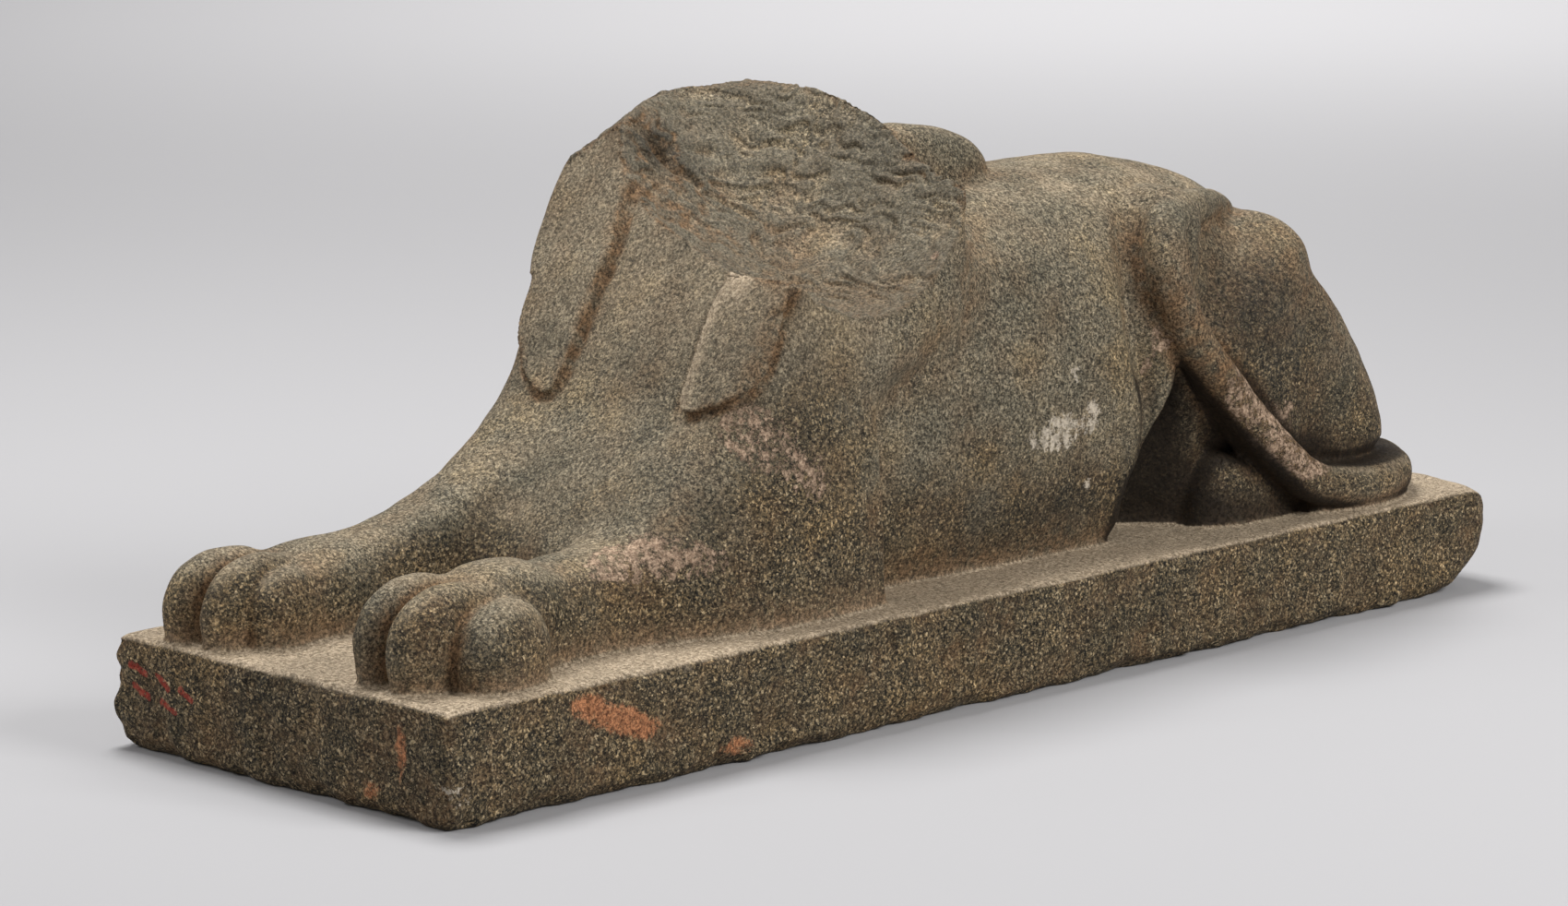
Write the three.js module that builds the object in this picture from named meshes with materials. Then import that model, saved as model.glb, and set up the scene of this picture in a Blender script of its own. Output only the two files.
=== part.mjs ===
// A headless reclining sphinx on a low slab, carved from one block of dark stone.
// Frame: millimetres, +Z up, origin under the middle of the slab, forepaws towards -Y, left side +X.
// The stone is one distance function: it is negative inside, and its zero is the carved surface.
import * as THREE from "three";

// ---------------------------------------------------------------- driving sizes
const LENGTH = 1100;
const WIDTH = 345;
const SLAB_HEIGHT = 80;
const SLAB_EDGE_ROUND = 5;

// Fineness of the mesh: step of the sampling lattice, and how many triangles are kept.
const LATTICE_STEP = 8;
const TRIANGLES_KEPT = 8600;
// While triangles are folded away: the pull towards short edges, how far a triangle may turn, how thin it
// may grow, how sharply two may close on each other, and how often all edges are offered.
const LENGTH_COST = 1e-3;
const LEAST_FACING = 0.5;
const LEAST_SHAPE = 0.06;
const LEAST_SHAPE_KEPT = 0.8;
const LEAST_OPENING = -0.5;
const PASSES = 4;
// Step over which the slope of the distance function is measured.
const SLOPE_STEP = 0.2;

// Body, as upright oval sections along Y. Each row: y, top, half width.
const BODY_ROWS = [
  [-150, 318, 108], [-120, 330, 112], [0, 344, 121], [80, 348, 125], [140, 351, 126], [190, 353, 126],
  [240, 353, 124], [300, 344, 118], [360, 316, 108], [410, 262, 96], [450, 208, 82], [480, 158, 68],
  [500, 120, 54],
];
const BODY_LOW = 29;
const BODY_SQUARENESS = 2.8;
const BACK_SQUARENESS = 2.5;
const BODY_FRONT = -132;
const BODY_REAR = 495;

// Chest, shoulders and headcloth, by height. Each row: z, then the size named.
const CHEST_FRONT = [
  [60, -350], [100, -342], [128, -330], [160, -304], [190, -276], [224, -245], [275, -212], [330, -173],
  [370, -146], [450, -100],
];
const CHEST_HALF_WIDTH = [
  [60, 112], [160, 119], [224, 122], [262, 123], [290, 124], [312, 133], [345, 139], [385, 142], [450, 142],
];
const SHOULDER_HALF_WIDTH = [
  [60, 145], [120, 144], [200, 141], [240, 135], [280, 127], [320, 123], [356, 119], [400, 115], [450, 110],
];
const SHOULDER_REAR = [
  [60, -112], [196, -114], [222, -100], [250, -62], [275, -24], [300, -6], [331, -4], [360, 6], [400, 14],
  [430, 0], [450, -20],
];
const CHEST_CORNER_ROUND = [[60, 40], [200, 34], [250, 22], [330, 18], [450, 24]];
const SHOULDER_REAR_ROUND = [[60, 8], [190, 10], [215, 26], [250, 60], [300, 44], [340, 18], [450, 24]];
const SHOULDER_BLEND = [[60, 7], [190, 9], [222, 26], [250, 56], [310, 56], [400, 30]];
const SHOULDER_FLARE = 0.29;

// Headcloth ends on the chest: raised by a little, one each side, over an edge so wide.
// Inner edge by height; foot: the lowest point, its place across, and how fast the edge curves up.
const LAPPET_RAISE = 5;
const LEFT_LAPPET = {
  inner: [[225, 70], [264, 65], [294, 61], [330, 56], [450, 50]],
  foot: { low: 224, middle: 68, curve: 0.006 },
};
const RIGHT_LAPPET = {
  inner: [[222, 53], [264, 54], [312, 57], [336, 62], [357, 69], [450, 90]],
  foot: { low: 221.5, middle: 58, curve: 0.0115 },
};
const LAPPET_WRAP = [[216, 12], [250, 11], [270, 9], [288, 5], [306, -2], [340, -8]];
const LAPPET_EDGE = 4;
// High up on the right the headcloth still turns round onto the side of the shoulder.
const RIGHT_WING = { wrap: 52, raise: 3, from: 272, full: 310 };

// Plait of the headcloth on the back.
const PLAIT = { at: [0, 68, 354], radii: [27, 65, 36], squareness: 2.6, tilt: -12 };

// Broken face at the neck: a tilted hollow, low at the front left and high at the back right.
const BREAK_HEIGHT = 313.5;
const BREAK_CENTRE_Y = -80;
const BREAK_FALL_LEFT = 0.49;
const BREAK_RISE_BACK = 0.46;
const BREAK_HOLLOW_ACROSS = 0.0023;
const BREAK_TWIST = 0.0008;
const BREAK_HOLLOW_ALONG = 0.0059;
const BREAK_CREST = 420;
const BREAK_SWELLS = [
  { at: [0, -170], height: 11, spread: 40 },
  { at: [-110, -125], height: 31, spread: 30 },
];
const RIGHT_FACET = { at: [-138, -68, 412], riseBack: 0.45, riseLeft: 0.58 };

// Forelegs. Each row: y, then the size named, measured outwards from the middle.
const LEFT_LEG_TOP = [
  [-450, 130], [-413, 139], [-367, 143], [-325, 146], [-282, 150], [-240, 158], [-200, 170], [-150, 190],
];
const RIGHT_LEG_TOP = [
  [-475, 134], [-433, 139], [-392, 145], [-358, 155], [-323, 169], [-290, 185], [-240, 206], [-150, 225],
];
const LEG_INNER = [[-470, 50], [-400, 48], [-330, 42], [-250, 30], [-150, 30]];
const LEG_OUTER = [[-470, 126], [-424, 122], [-380, 117], [-322, 119], [-229, 138], [-180, 143], [-150, 143]];
const LEG_LOW = 38;
const LEG_FRONT = -470;
const LEG_REAR = -140;
const LEG_SQUARENESS = 3;

// Forepaws: four toes and a wrist each. The left paw's toes and wrist are higher than the right one's.
const LEFT_PAW = { middle: 90, front: -541, size: 1, toeLift: 9, wristLift: 14 };
const RIGHT_PAW = { middle: 99, front: -545, size: 0.98, toeLift: 3, wristLift: 0 };
const TOE_SQUARENESS = 2.3;
const TOE_BLEND = 2;
const TOES = [
  { aside: -17, back: 2, height: 94, tilt: 5, turn: -3, radii: [19, 48, 44] },
  { aside: 16, back: 0, height: 94, tilt: 7, turn: 4, radii: [22, 48, 44] },
  { aside: -33, back: 28, height: 90, tilt: 0, turn: -14, radii: [19, 36, 39] },
  { aside: 42, back: 34, height: 87, tilt: 0, turn: 14, radii: [24, 42, 40] },
];
const WRIST = { aside: -2, back: 108, height: 92, radii: [37, 50, 46], squareness: 2.4 };

// Hind legs: thigh of three masses in the side view, fold of the knee, hollow under it, paw.
const THIGH_MASSES = [
  { at: [302, 215], radii: [50, 110], tilt: -42 },
  { at: [329, 187], radii: [90, 79], tilt: -45 },
  { at: [390, 168], radii: [114, 69], tilt: -54 },
];
const THIGH = { squareness: 2.4, blend: 24, out: 136, round: 60 };
// The thigh is cut back along the tail by so much, fading out between these distances from it.
const THIGH_RECESS = { depth: 5, full: 2, none: 13 };
const KNEE_LINE = [
  [90, 232, 306, 34], [98, 216, 262, 31], [100, 204, 215, 27], [95, 192, 150, 24], [87, 176, 84, 20],
];
const FLANK_GROOVE = [[200, 330], [184, 300], [174, 262], [176, 225], [188, 185], [188, 150], [176, 112]];
const FLANK_GROOVE_DEPTH = 9;
const FLANK_GROOVE_WIDTH = 11;
const HOLLOW_TOP = [228, 226];
const HOLLOW_FRONT_FOOT = [162, 84];
const HOLLOW_REAR_FOOT = [370, 82];
const HOLLOW_INNER = [[80, 66], [150, 82], [226, 104]];
// Behind its front the hollow is less deep, over the shin.
const SHIN = { out: 34, from: 206, full: 250 };
const HIND_PAW = { at: [102, 308, 84], radii: [35, 62, 60], squareness: 3, tilt: -6 };
const HIND_PAW_TOP = [250, 150];
const HIND_PAW_SLOPE = 0.42;

// Tail: round the rump, forward over the left thigh and up over the hip. Each row: x, y, z, radius.
const TAIL_LINE = [
  [15, 496, 97, 18], [66, 502, 96, 18], [108, 490, 95, 18], [135, 460, 95, 18], [148, 422, 95, 17.5],
  [149, 384, 98, 17], [147, 345, 108, 16.5], [143, 313, 132, 16.5], [139, 282, 163, 16.5],
  [136, 252, 194, 16.5], [133, 229, 220, 16.5], [130, 211, 249, 16.5], [127, 202, 277, 16.5],
  [121, 205, 301, 16], [110, 220, 316, 15], [94, 262, 318, 14], [72, 312, 314, 12], [58, 345, 308, 8],
];
// Stone left under the tail: a second strand so much further in, from these heights down.
const TAIL_UNDER = { depth: 15, none: 205, full: 155 };
// Stone left standing between the low part of the tail and the rump.
const TAIL_BED = { at: [40, 402], radii: [112, 102], squareness: 3, top: 108, front: 352 };

// Breaks at the foot of the slab. Each: a point of the cut, the way out of the stone, softness.
const SLAB_BREAKS = [
  { at: [172, 522, 21], out: [0.45, 0.6, -0.72], soft: 14 },
  { at: [168, 543, 40], out: [0.6, 0.8, 0], soft: 10 },
  { at: [168, 532, 78], out: [0.3, 0.55, 0.78], soft: 10 },
  { at: [-172, -546, 10], out: [-0.6, -0.5, -0.62], soft: 8 },
  { at: [-168, 540, 16], out: [-0.6, 0.6, -0.53], soft: 12 },
];

// ---------------------------------------------------------------- shapes as distances
function smoothMin(a, b, soft) {
  const h = Math.min(1, Math.max(0, 0.5 + (0.5 * (b - a)) / soft));
  return b + (a - b) * h - soft * h * (1 - h);
}

function smoothMax(a, b, soft) {
  return -smoothMin(-a, -b, soft);
}

function smoothStep(from, to, t) {
  const u = Math.min(1, Math.max(0, (t - from) / (to - from)));
  return u * u * (3 - 2 * u);
}

// A smooth curve through rows of [station, ...sizes], with no overshoot between them.
function curveThrough(rows, column = 1) {
  const last = rows.length - 1;
  const at = rows.map((row) => row[0]);
  const value = rows.map((row) => row[column]);
  const rise = at.slice(1).map((t, i) => (value[i + 1] - value[i]) / (t - at[i]));
  const slope = at.map((_, i) => {
    if (i === 0) return rise[0];
    if (i === last) return rise[last - 1];
    const product = rise[i - 1] * rise[i];
    return product <= 0 ? 0 : (2 * product) / (rise[i - 1] + rise[i]);
  });
  return (t) => {
    const s = Math.min(at[last], Math.max(at[0], t));
    let i = 0;
    while (i < last - 1 && s > at[i + 1]) i += 1;
    const gap = at[i + 1] - at[i];
    const u = (s - at[i]) / gap;
    const from = (1 + 2 * u) * (1 - u) * (1 - u) * value[i] + u * (1 - u) * (1 - u) * gap * slope[i];
    const to = u * u * (3 - 2 * u) * value[i + 1] - u * u * (1 - u) * gap * slope[i + 1];
    return from + to;
  };
}

// Points along a smooth path through rows of numbers, with the given steps between rows.
function pathThrough(rows, steps) {
  const points = [];
  for (let i = 0; i < rows.length - 1; i += 1) {
    const a = rows[Math.max(0, i - 1)];
    const b = rows[i];
    const c = rows[i + 1];
    const d = rows[Math.min(rows.length - 1, i + 2)];
    for (let k = 0; k < steps; k += 1) {
      const u = k / steps;
      points.push(b.map((_, n) => {
        const bend = 2 * a[n] - 5 * b[n] + 4 * c[n] - d[n];
        const twist = 3 * b[n] - a[n] - 3 * c[n] + d[n];
        return 0.5 * (2 * b[n] + (c[n] - a[n]) * u + bend * u * u + twist * u ** 3);
      }));
    }
  }
  points.push(rows[rows.length - 1]);
  return points;
}

// Distance to an oval whose sides are squared off by a power above 2.
function oval(offsets, radii, power) {
  let sum = 1e-9;
  let steep = 0;
  for (let i = 0; i < offsets.length; i += 1) {
    const part = Math.abs(offsets[i]) / radii[i];
    sum += part ** power;
    steep += (part ** (power - 1) / radii[i]) ** 2;
  }
  const size = sum ** (1 / power);
  return (size - 1) / Math.max(Math.sqrt(steep) * sum ** (1 / power - 1), 1e-4);
}

// An egg shape, turned about Z and then tilted about X by degrees.
function egg(x, y, z, { at, radii, squareness, tilt = 0, turn = 0 }) {
  const a = THREE.MathUtils.degToRad(turn);
  const b = THREE.MathUtils.degToRad(tilt);
  const px = (x - at[0]) * Math.cos(a) + (y - at[1]) * Math.sin(a);
  const along = (y - at[1]) * Math.cos(a) - (x - at[0]) * Math.sin(a);
  const py = along * Math.cos(b) + (z - at[2]) * Math.sin(b);
  const pz = (z - at[2]) * Math.cos(b) - along * Math.sin(b);
  return oval([px, py, pz], radii, squareness);
}

// A rope of round cones along points of [x, y, z, radius].
function rope(x, y, z, points) {
  let nearest = 1e3;
  for (let i = 0; i < points.length - 1; i += 1) {
    const a = points[i];
    const b = points[i + 1];
    const v = [b[0] - a[0], b[1] - a[1], b[2] - a[2]];
    const w = [x - a[0], y - a[1], z - a[2]];
    const along = (v[0] * w[0] + v[1] * w[1] + v[2] * w[2]) / (v[0] ** 2 + v[1] ** 2 + v[2] ** 2);
    const t = Math.min(1, Math.max(0, along));
    const away = Math.hypot(w[0] - v[0] * t, w[1] - v[1] * t, w[2] - v[2] * t);
    nearest = Math.min(nearest, away - a[3] - (b[3] - a[3]) * t);
  }
  return nearest;
}

// Distance in a plane to a line of [u, v] points.
function lineDistance(u, v, points) {
  let nearest = 1e3;
  for (let i = 0; i < points.length - 1; i += 1) {
    const [au, av] = points[i];
    const du = points[i + 1][0] - au;
    const dv = points[i + 1][1] - av;
    const t = Math.min(1, Math.max(0, ((u - au) * du + (v - av) * dv) / (du * du + dv * dv)));
    nearest = Math.min(nearest, Math.hypot(u - au - du * t, v - av - dv * t));
  }
  return nearest;
}

// ---------------------------------------------------------------- the carving
const bodyTop = curveThrough(BODY_ROWS, 1);
const bodyHalfWidth = curveThrough(BODY_ROWS, 2);

function body(x, y, z) {
  const half = (bodyTop(y) - BODY_LOW) / 2;
  const squareness = z > BODY_LOW + half ? BACK_SQUARENESS : BODY_SQUARENESS;
  const ring = oval([x, z - BODY_LOW - half], [bodyHalfWidth(y), half], squareness);
  return smoothMax(smoothMax(ring, (y - BODY_REAR) * 0.9, 50), BODY_FRONT - y, 20);
}

const chestFront = curveThrough(CHEST_FRONT);
const chestHalfWidth = curveThrough(CHEST_HALF_WIDTH);
const shoulderHalfWidth = curveThrough(SHOULDER_HALF_WIDTH);
const shoulderRear = curveThrough(SHOULDER_REAR);
const chestCornerRound = curveThrough(CHEST_CORNER_ROUND);
const shoulderRearRound = curveThrough(SHOULDER_REAR_ROUND);
const shoulderBlend = curveThrough(SHOULDER_BLEND);
const leftLappetInner = curveThrough(LEFT_LAPPET.inner);
const rightLappetInner = curveThrough(RIGHT_LAPPET.inner);
const lappetWrap = curveThrough(LAPPET_WRAP);

// How much of the right wing's turn there is: none on the left side and low down.
function rightWing(x, z) {
  return x < 0 ? smoothStep(RIGHT_WING.from, RIGHT_WING.full, z) : 0;
}

// How far a place lies inside the raised headcloth end of its side.
function insideLappet(x, behindFront, z) {
  const outward = Math.abs(x);
  const wrap = THREE.MathUtils.lerp(lappetWrap(z), RIGHT_WING.wrap, rightWing(x, z));
  const inner = x > 0 ? leftLappetInner(z) : rightLappetInner(z);
  const { low, middle, curve } = (x > 0 ? LEFT_LAPPET : RIGHT_LAPPET).foot;
  const across = smoothMin(outward - inner, (wrap - behindFront) * 0.9, 6);
  return smoothMin(across, z - low - curve * (outward - middle) ** 2, 12);
}

// Chest, shoulders and headcloth as one block: it flares from the chest corner to the shoulder.
function forequarter(x, y, z) {
  const outward = Math.abs(x);
  const behindFront = y - chestFront(z);
  const corner = chestHalfWidth(z);
  const widest = shoulderHalfWidth(z);
  const run = Math.max(behindFront - 6, 0) * SHOULDER_FLARE;
  const narrowing = corner > widest;
  const halfWidth = narrowing ? smoothMax(corner - run, widest, 6) : smoothMin(corner + run, widest, 6);
  const block = smoothMax(-behindFront * 0.8, (outward - halfWidth) * 0.97, chestCornerRound(z));
  const shape = smoothMax(block, (y - shoulderRear(z)) * 0.85, shoulderRearRound(z));
  const inside = insideLappet(x, behindFront, z);
  const raised = LAPPET_RAISE + RIGHT_WING.raise * rightWing(x, z);
  return shape - raised * smoothStep(-LAPPET_EDGE, LAPPET_EDGE, inside);
}

const leftLegTop = curveThrough(LEFT_LEG_TOP);
const rightLegTop = curveThrough(RIGHT_LEG_TOP);
const legInner = curveThrough(LEG_INNER);
const legOuter = curveThrough(LEG_OUTER);

function foreleg(outward, y, z, side) {
  const halfHeight = ((side > 0 ? leftLegTop(y) : rightLegTop(y)) - LEG_LOW) / 2;
  const halfWidth = (legOuter(y) - legInner(y)) / 2;
  const offsets = [outward - legInner(y) - halfWidth, z - LEG_LOW - halfHeight];
  const ring = oval(offsets, [halfWidth, halfHeight], LEG_SQUARENESS);
  return smoothMax(smoothMax(ring, LEG_FRONT - y, 20), y - LEG_REAR, 10);
}

function forepaw(outward, y, z, { middle, front, size, toeLift, wristLift }) {
  let shape = 1e3;
  for (const { aside, back, height, tilt, turn, radii } of TOES) {
    const scaled = radii.map((radius) => radius * size);
    const at = [middle + aside * size, front + (radii[1] + back) * size, height + toeLift];
    const toe = egg(outward, y, z, { at, radii: scaled, squareness: TOE_SQUARENESS, tilt, turn });
    shape = smoothMin(shape, toe, TOE_BLEND);
  }
  const wrist = [middle + WRIST.aside, front + WRIST.back * size, WRIST.height + wristLift];
  return smoothMin(shape, egg(outward, y, z, { ...WRIST, at: wrist }), 8);
}

const kneeLine = pathThrough(KNEE_LINE, 4);
const flankGroove = pathThrough(FLANK_GROOVE, 3);
const tailLine = pathThrough(TAIL_LINE, 3);
const hollowInner = curveThrough(HOLLOW_INNER);

// Distance out of a line in the side view, to the given side of the way from one point to another.
function beyondLine(y, z, from, to) {
  const run = [to[0] - from[0], to[1] - from[1]];
  return ((z - from[1]) * run[0] - (y - from[0]) * run[1]) / Math.hypot(run[0], run[1]);
}

// Three tilted ovals of the side view, joined, and rounded off at the outer side of the thigh.
function thigh(outward, y, z) {
  let outline = 1e3;
  for (const { at, radii, tilt } of THIGH_MASSES) {
    const turn = THREE.MathUtils.degToRad(tilt);
    const ahead = (y - at[0]) * Math.cos(turn) + (z - at[1]) * Math.sin(turn);
    const up = (z - at[1]) * Math.cos(turn) - (y - at[0]) * Math.sin(turn);
    outline = smoothMin(outline, oval([ahead, up], radii, THIGH.squareness), THIGH.blend);
  }
  return smoothMax(outline, outward - THIGH.out, THIGH.round);
}

// The hollow between belly, thigh and slab, a leaning triangle that narrows inwards.
function legHollow(outward, y, z) {
  const ahead = beyondLine(y, z, HOLLOW_FRONT_FOOT, HOLLOW_TOP);
  const above = beyondLine(y, z, HOLLOW_TOP, HOLLOW_REAR_FOOT);
  const outline = smoothMax(smoothMax(ahead, above, 12), SLAB_HEIGHT - 2 - z, 4);
  const inner = hollowInner(z) + SHIN.out * smoothStep(SHIN.from, SHIN.full, y);
  return smoothMax(outline, inner - outward, 20);
}

function hindPaw(outward, y, z) {
  const top = (z - HIND_PAW_TOP[1]) * 0.9 + (y - HIND_PAW_TOP[0]) * HIND_PAW_SLOPE;
  return smoothMax(egg(outward, y, z, HIND_PAW), top, 12);
}

function tailBed(x, y, z) {
  const { at, radii, squareness, top, front } = TAIL_BED;
  const plan = oval([x - at[0], y - at[1]], radii, squareness);
  return smoothMax(smoothMax(plan, z - top, 4), front - y, 8);
}

// Height of the broken face of the neck over a place on the plan.
function breakHeight(x, y) {
  const v = y - BREAK_CENTRE_Y;
  let height = BREAK_HEIGHT - BREAK_FALL_LEFT * x + BREAK_RISE_BACK * v;
  height += BREAK_HOLLOW_ACROSS * x * x - BREAK_TWIST * x * v + BREAK_HOLLOW_ALONG * v * v;
  for (const swell of BREAK_SWELLS) {
    const away = (x - swell.at[0]) ** 2 + (y - swell.at[1]) ** 2;
    height += swell.height * Math.exp(-away / (2 * swell.spread ** 2));
  }
  const { at, riseBack, riseLeft } = RIGHT_FACET;
  const facet = at[2] + riseBack * (y - at[1]) + riseLeft * (x - at[0]);
  return smoothMin(smoothMin(height, facet, 7), BREAK_CREST, 9);
}

function slab(x, y, z) {
  const halfHeight = SLAB_HEIGHT / 2;
  const beyond = [Math.abs(x) - WIDTH / 2, Math.abs(y) - LENGTH / 2, Math.abs(z - halfHeight) - halfHeight];
  const over = beyond.map((distance) => distance + SLAB_EDGE_ROUND);
  const outside = Math.hypot(...over.map((distance) => Math.max(distance, 0)));
  let shape = outside + Math.min(Math.max(...over), 0) - SLAB_EDGE_ROUND;
  for (const { at, out, soft } of SLAB_BREAKS) {
    const cut = (x - at[0]) * out[0] + (y - at[1]) * out[1] + (z - at[2]) * out[2];
    shape = smoothMax(shape, cut, soft);
  }
  return shape;
}

function sphinx(x, y, z) {
  const outward = Math.abs(x);
  const side = x < 0 ? -1 : 1;
  let shape = smoothMin(body(x, y, z), forequarter(x, y, z), shoulderBlend(z));
  const tail = rope(x, y, z, tailLine);
  const besideTail = outward === x ? tail : rope(outward, y, z, tailLine);
  const recess = THIGH_RECESS.depth * smoothStep(THIGH_RECESS.none, THIGH_RECESS.full, besideTail);
  shape = smoothMin(shape, thigh(outward, y, z) + recess, 14);
  shape = smoothMin(shape, rope(outward, y, z, kneeLine), 10);
  const groove = Math.exp(-((lineDistance(y, z, flankGroove) / FLANK_GROOVE_WIDTH) ** 2));
  shape += FLANK_GROOVE_DEPTH * groove * smoothStep(70, 110, outward);
  shape = smoothMax(shape, -legHollow(outward, y, z), 8);
  shape = smoothMin(shape, foreleg(outward, y, z, side), 14);
  shape = smoothMin(shape, egg(x, y, z, PLAIT), 8);
  shape = smoothMax(shape, (z - breakHeight(x, y)) * 0.72, 5);
  shape = smoothMin(shape, forepaw(outward, y, z, side > 0 ? LEFT_PAW : RIGHT_PAW), 9);
  shape = smoothMin(shape, hindPaw(outward, y, z), 6);
  const under = TAIL_UNDER.depth * smoothStep(TAIL_UNDER.none, TAIL_UNDER.full, z);
  shape = smoothMin(shape, rope(x + under, y, z, tailLine), 4);
  shape = smoothMin(shape, smoothMin(tail, tailBed(x, y, z), 4), 4);
  return Math.max(smoothMin(shape, slab(x, y, z), 5), -z);
}

// ---------------------------------------------------------------- surface of a distance function
// Corners of a lattice cube are numbered by the bits x, y, z. Six tetrahedra round the diagonal from
// corner 0 to corner 7 fill the cube, all turned the same way.
const TETRAHEDRA = [[0, 1, 3, 7], [0, 3, 2, 7], [0, 2, 6, 7], [0, 6, 4, 7], [0, 4, 5, 7], [0, 5, 1, 7]];
// Turns of a tetrahedron's corners that bring one or two of them to the front, by their bits.
const TO_THE_FRONT = {
  1: [0, 1, 2, 3], 2: [1, 0, 3, 2], 4: [2, 0, 1, 3], 8: [3, 0, 2, 1],
  3: [0, 1, 2, 3], 5: [0, 2, 3, 1], 9: [0, 3, 1, 2], 6: [1, 2, 0, 3], 10: [1, 3, 2, 0], 12: [2, 3, 0, 1],
};
const NEAREST_TO_CORNER = 0.03;

// The closed surface where a distance function is zero, as points and triangles that face outwards.
function surfaceOf(distance, low, high, step) {
  const count = low.map((from, i) => Math.ceil((high[i] - from) / step) + 1);
  const stride = [1, count[0], count[0] * count[1]];
  const place = (n) => [n % count[0], Math.floor(n / stride[1]) % count[1], Math.floor(n / stride[2])]
    .map((index, axis) => low[axis] + index * step);
  const sample = new Float64Array(count[0] * count[1] * count[2]);
  sample.forEach((_, n) => { sample[n] = distance(...place(n)); });
  const offset = [...Array(8).keys()].map((c) => (c & 1) + ((c >> 1) & 1) * stride[1] + (c >> 2) * stride[2]);
  const points = [];
  const pointOnEdge = new Map();
  const crossing = (n, from, to) => {
    const [a, b] = from < to ? [from, to] : [to, from];
    const key = (n + offset[a]) * 8 + (b - a);
    if (!pointOnEdge.has(key)) {
      const start = sample[n + offset[a]];
      const part = start / (start - sample[n + offset[b]]);
      const t = Math.min(1 - NEAREST_TO_CORNER, Math.max(NEAREST_TO_CORNER, part));
      const end = place(n + offset[b]);
      pointOnEdge.set(key, points.length);
      points.push(place(n + offset[a]).map((value, axis) => value + t * (end[axis] - value)));
    }
    return pointOnEdge.get(key);
  };
  const triangles = [];
  for (let n = 0; n < sample.length - offset[7]; n += 1) {
    const within = offset.map((o) => sample[n + o] < 0);
    if (within.every((flag) => flag === within[0])) continue;
    for (const corners of TETRAHEDRA) {
      const inside = corners.filter((c) => within[c]).length;
      if (inside === 0 || inside === 4) continue;
      const bits = corners.reduce((sum, c, i) => sum + (within[c] === inside < 3 ? 1 << i : 0), 0);
      const [i, j, k, l] = TO_THE_FRONT[bits].map((c) => corners[c]);
      const cuts = inside === 2 ? [[i, k], [i, l], [j, l], [j, k]] : [[i, j], [i, k], [i, l]];
      const ring = cuts.map(([from, to]) => crossing(n, from, to));
      if (inside === 3) ring.reverse();
      for (let c = 2; c < ring.length; c += 1) triangles.push([ring[0], ring[c - 1], ring[c]]);
    }
  }
  return { points, triangles };
}

// The largest connected piece of a surface: what is left out is the skin of small bubbles.
function largestPiece({ points, triangles }) {
  const leader = points.map((_, v) => v);
  const leaderOf = (v) => {
    let top = v;
    while (leader[top] !== top) top = leader[top];
    leader[v] = top;
    return top;
  };
  for (const [a, b, c] of triangles) {
    leader[leaderOf(b)] = leaderOf(a);
    leader[leaderOf(c)] = leaderOf(a);
  }
  const sizes = new Map();
  for (const [a] of triangles) sizes.set(leaderOf(a), (sizes.get(leaderOf(a)) ?? 0) + 1);
  const [largest] = [...sizes].sort((p, q) => q[1] - p[1])[0];
  return { points, triangles: triangles.filter(([a]) => leaderOf(a) === largest) };
}

// ---------------------------------------------------------------- fewer triangles
// A heap that gives back its cheapest entry first.
function cheapestFirst() {
  const entries = [];
  const swap = (i, j) => {
    [entries[i], entries[j]] = [entries[j], entries[i]];
  };
  return {
    push(entry) {
      let i = entries.push(entry) - 1;
      while (i > 0 && entries[i].cost < entries[(i - 1) >> 1].cost) {
        swap(i, (i - 1) >> 1);
        i = (i - 1) >> 1;
      }
    },
    pop() {
      const first = entries[0];
      const last = entries.pop();
      if (entries.length === 0) return first;
      entries[0] = last;
      for (let i = 0; ;) {
        let least = i;
        for (const child of [2 * i + 1, 2 * i + 2]) {
          if (child < entries.length && entries[child].cost < entries[least].cost) least = child;
        }
        if (least === i) return first;
        swap(i, least);
        i = least;
      }
    },
    isEmpty: () => entries.length === 0,
  };
}

function crossOf(a, b, c) {
  const u = [b[0] - a[0], b[1] - a[1], b[2] - a[2]];
  const v = [c[0] - a[0], c[1] - a[1], c[2] - a[2]];
  return [u[1] * v[2] - u[2] * v[1], u[2] * v[0] - u[0] * v[2], u[0] * v[1] - u[1] * v[0]];
}

function longestEdge(corners) {
  return Math.max(...corners.map((from, i) => {
    const to = corners[(i + 1) % 3];
    return Math.hypot(from[0] - to[0], from[1] - to[1], from[2] - to[2]);
  }));
}

// The plane that touches the surface beside a place, as its normal and offset.
function tangentPlane(distance, place) {
  const here = distance(...place);
  const slope = place.map((_, axis) => {
    const ahead = place.map((value, i) => value + (i === axis ? SLOPE_STEP : 0));
    return (distance(...ahead) - here) / SLOPE_STEP;
  });
  const steep = Math.max(Math.hypot(...slope), 1e-6);
  const normal = slope.map((value) => value / steep);
  const along = normal.reduce((sum, value, i) => sum + value * place[i], 0);
  return { normal, offset: here / steep - along };
}

// Squared distances to a set of planes, kept as the ten numbers of a symmetric 4 x 4 matrix.
function planeSum(normal, offset, weight) {
  const [a, b, c] = normal;
  const d = offset;
  return [a * a, a * b, a * c, a * d, b * b, b * c, b * d, c * c, c * d, d * d].map((term) => term * weight);
}

function planeCost(q, [x, y, z]) {
  const square = q[0] * x * x + q[4] * y * y + q[7] * z * z + q[9];
  return square + 2 * (q[1] * x * y + q[2] * x * z + q[3] * x + q[5] * y * z + q[6] * y + q[8] * z);
}

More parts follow.
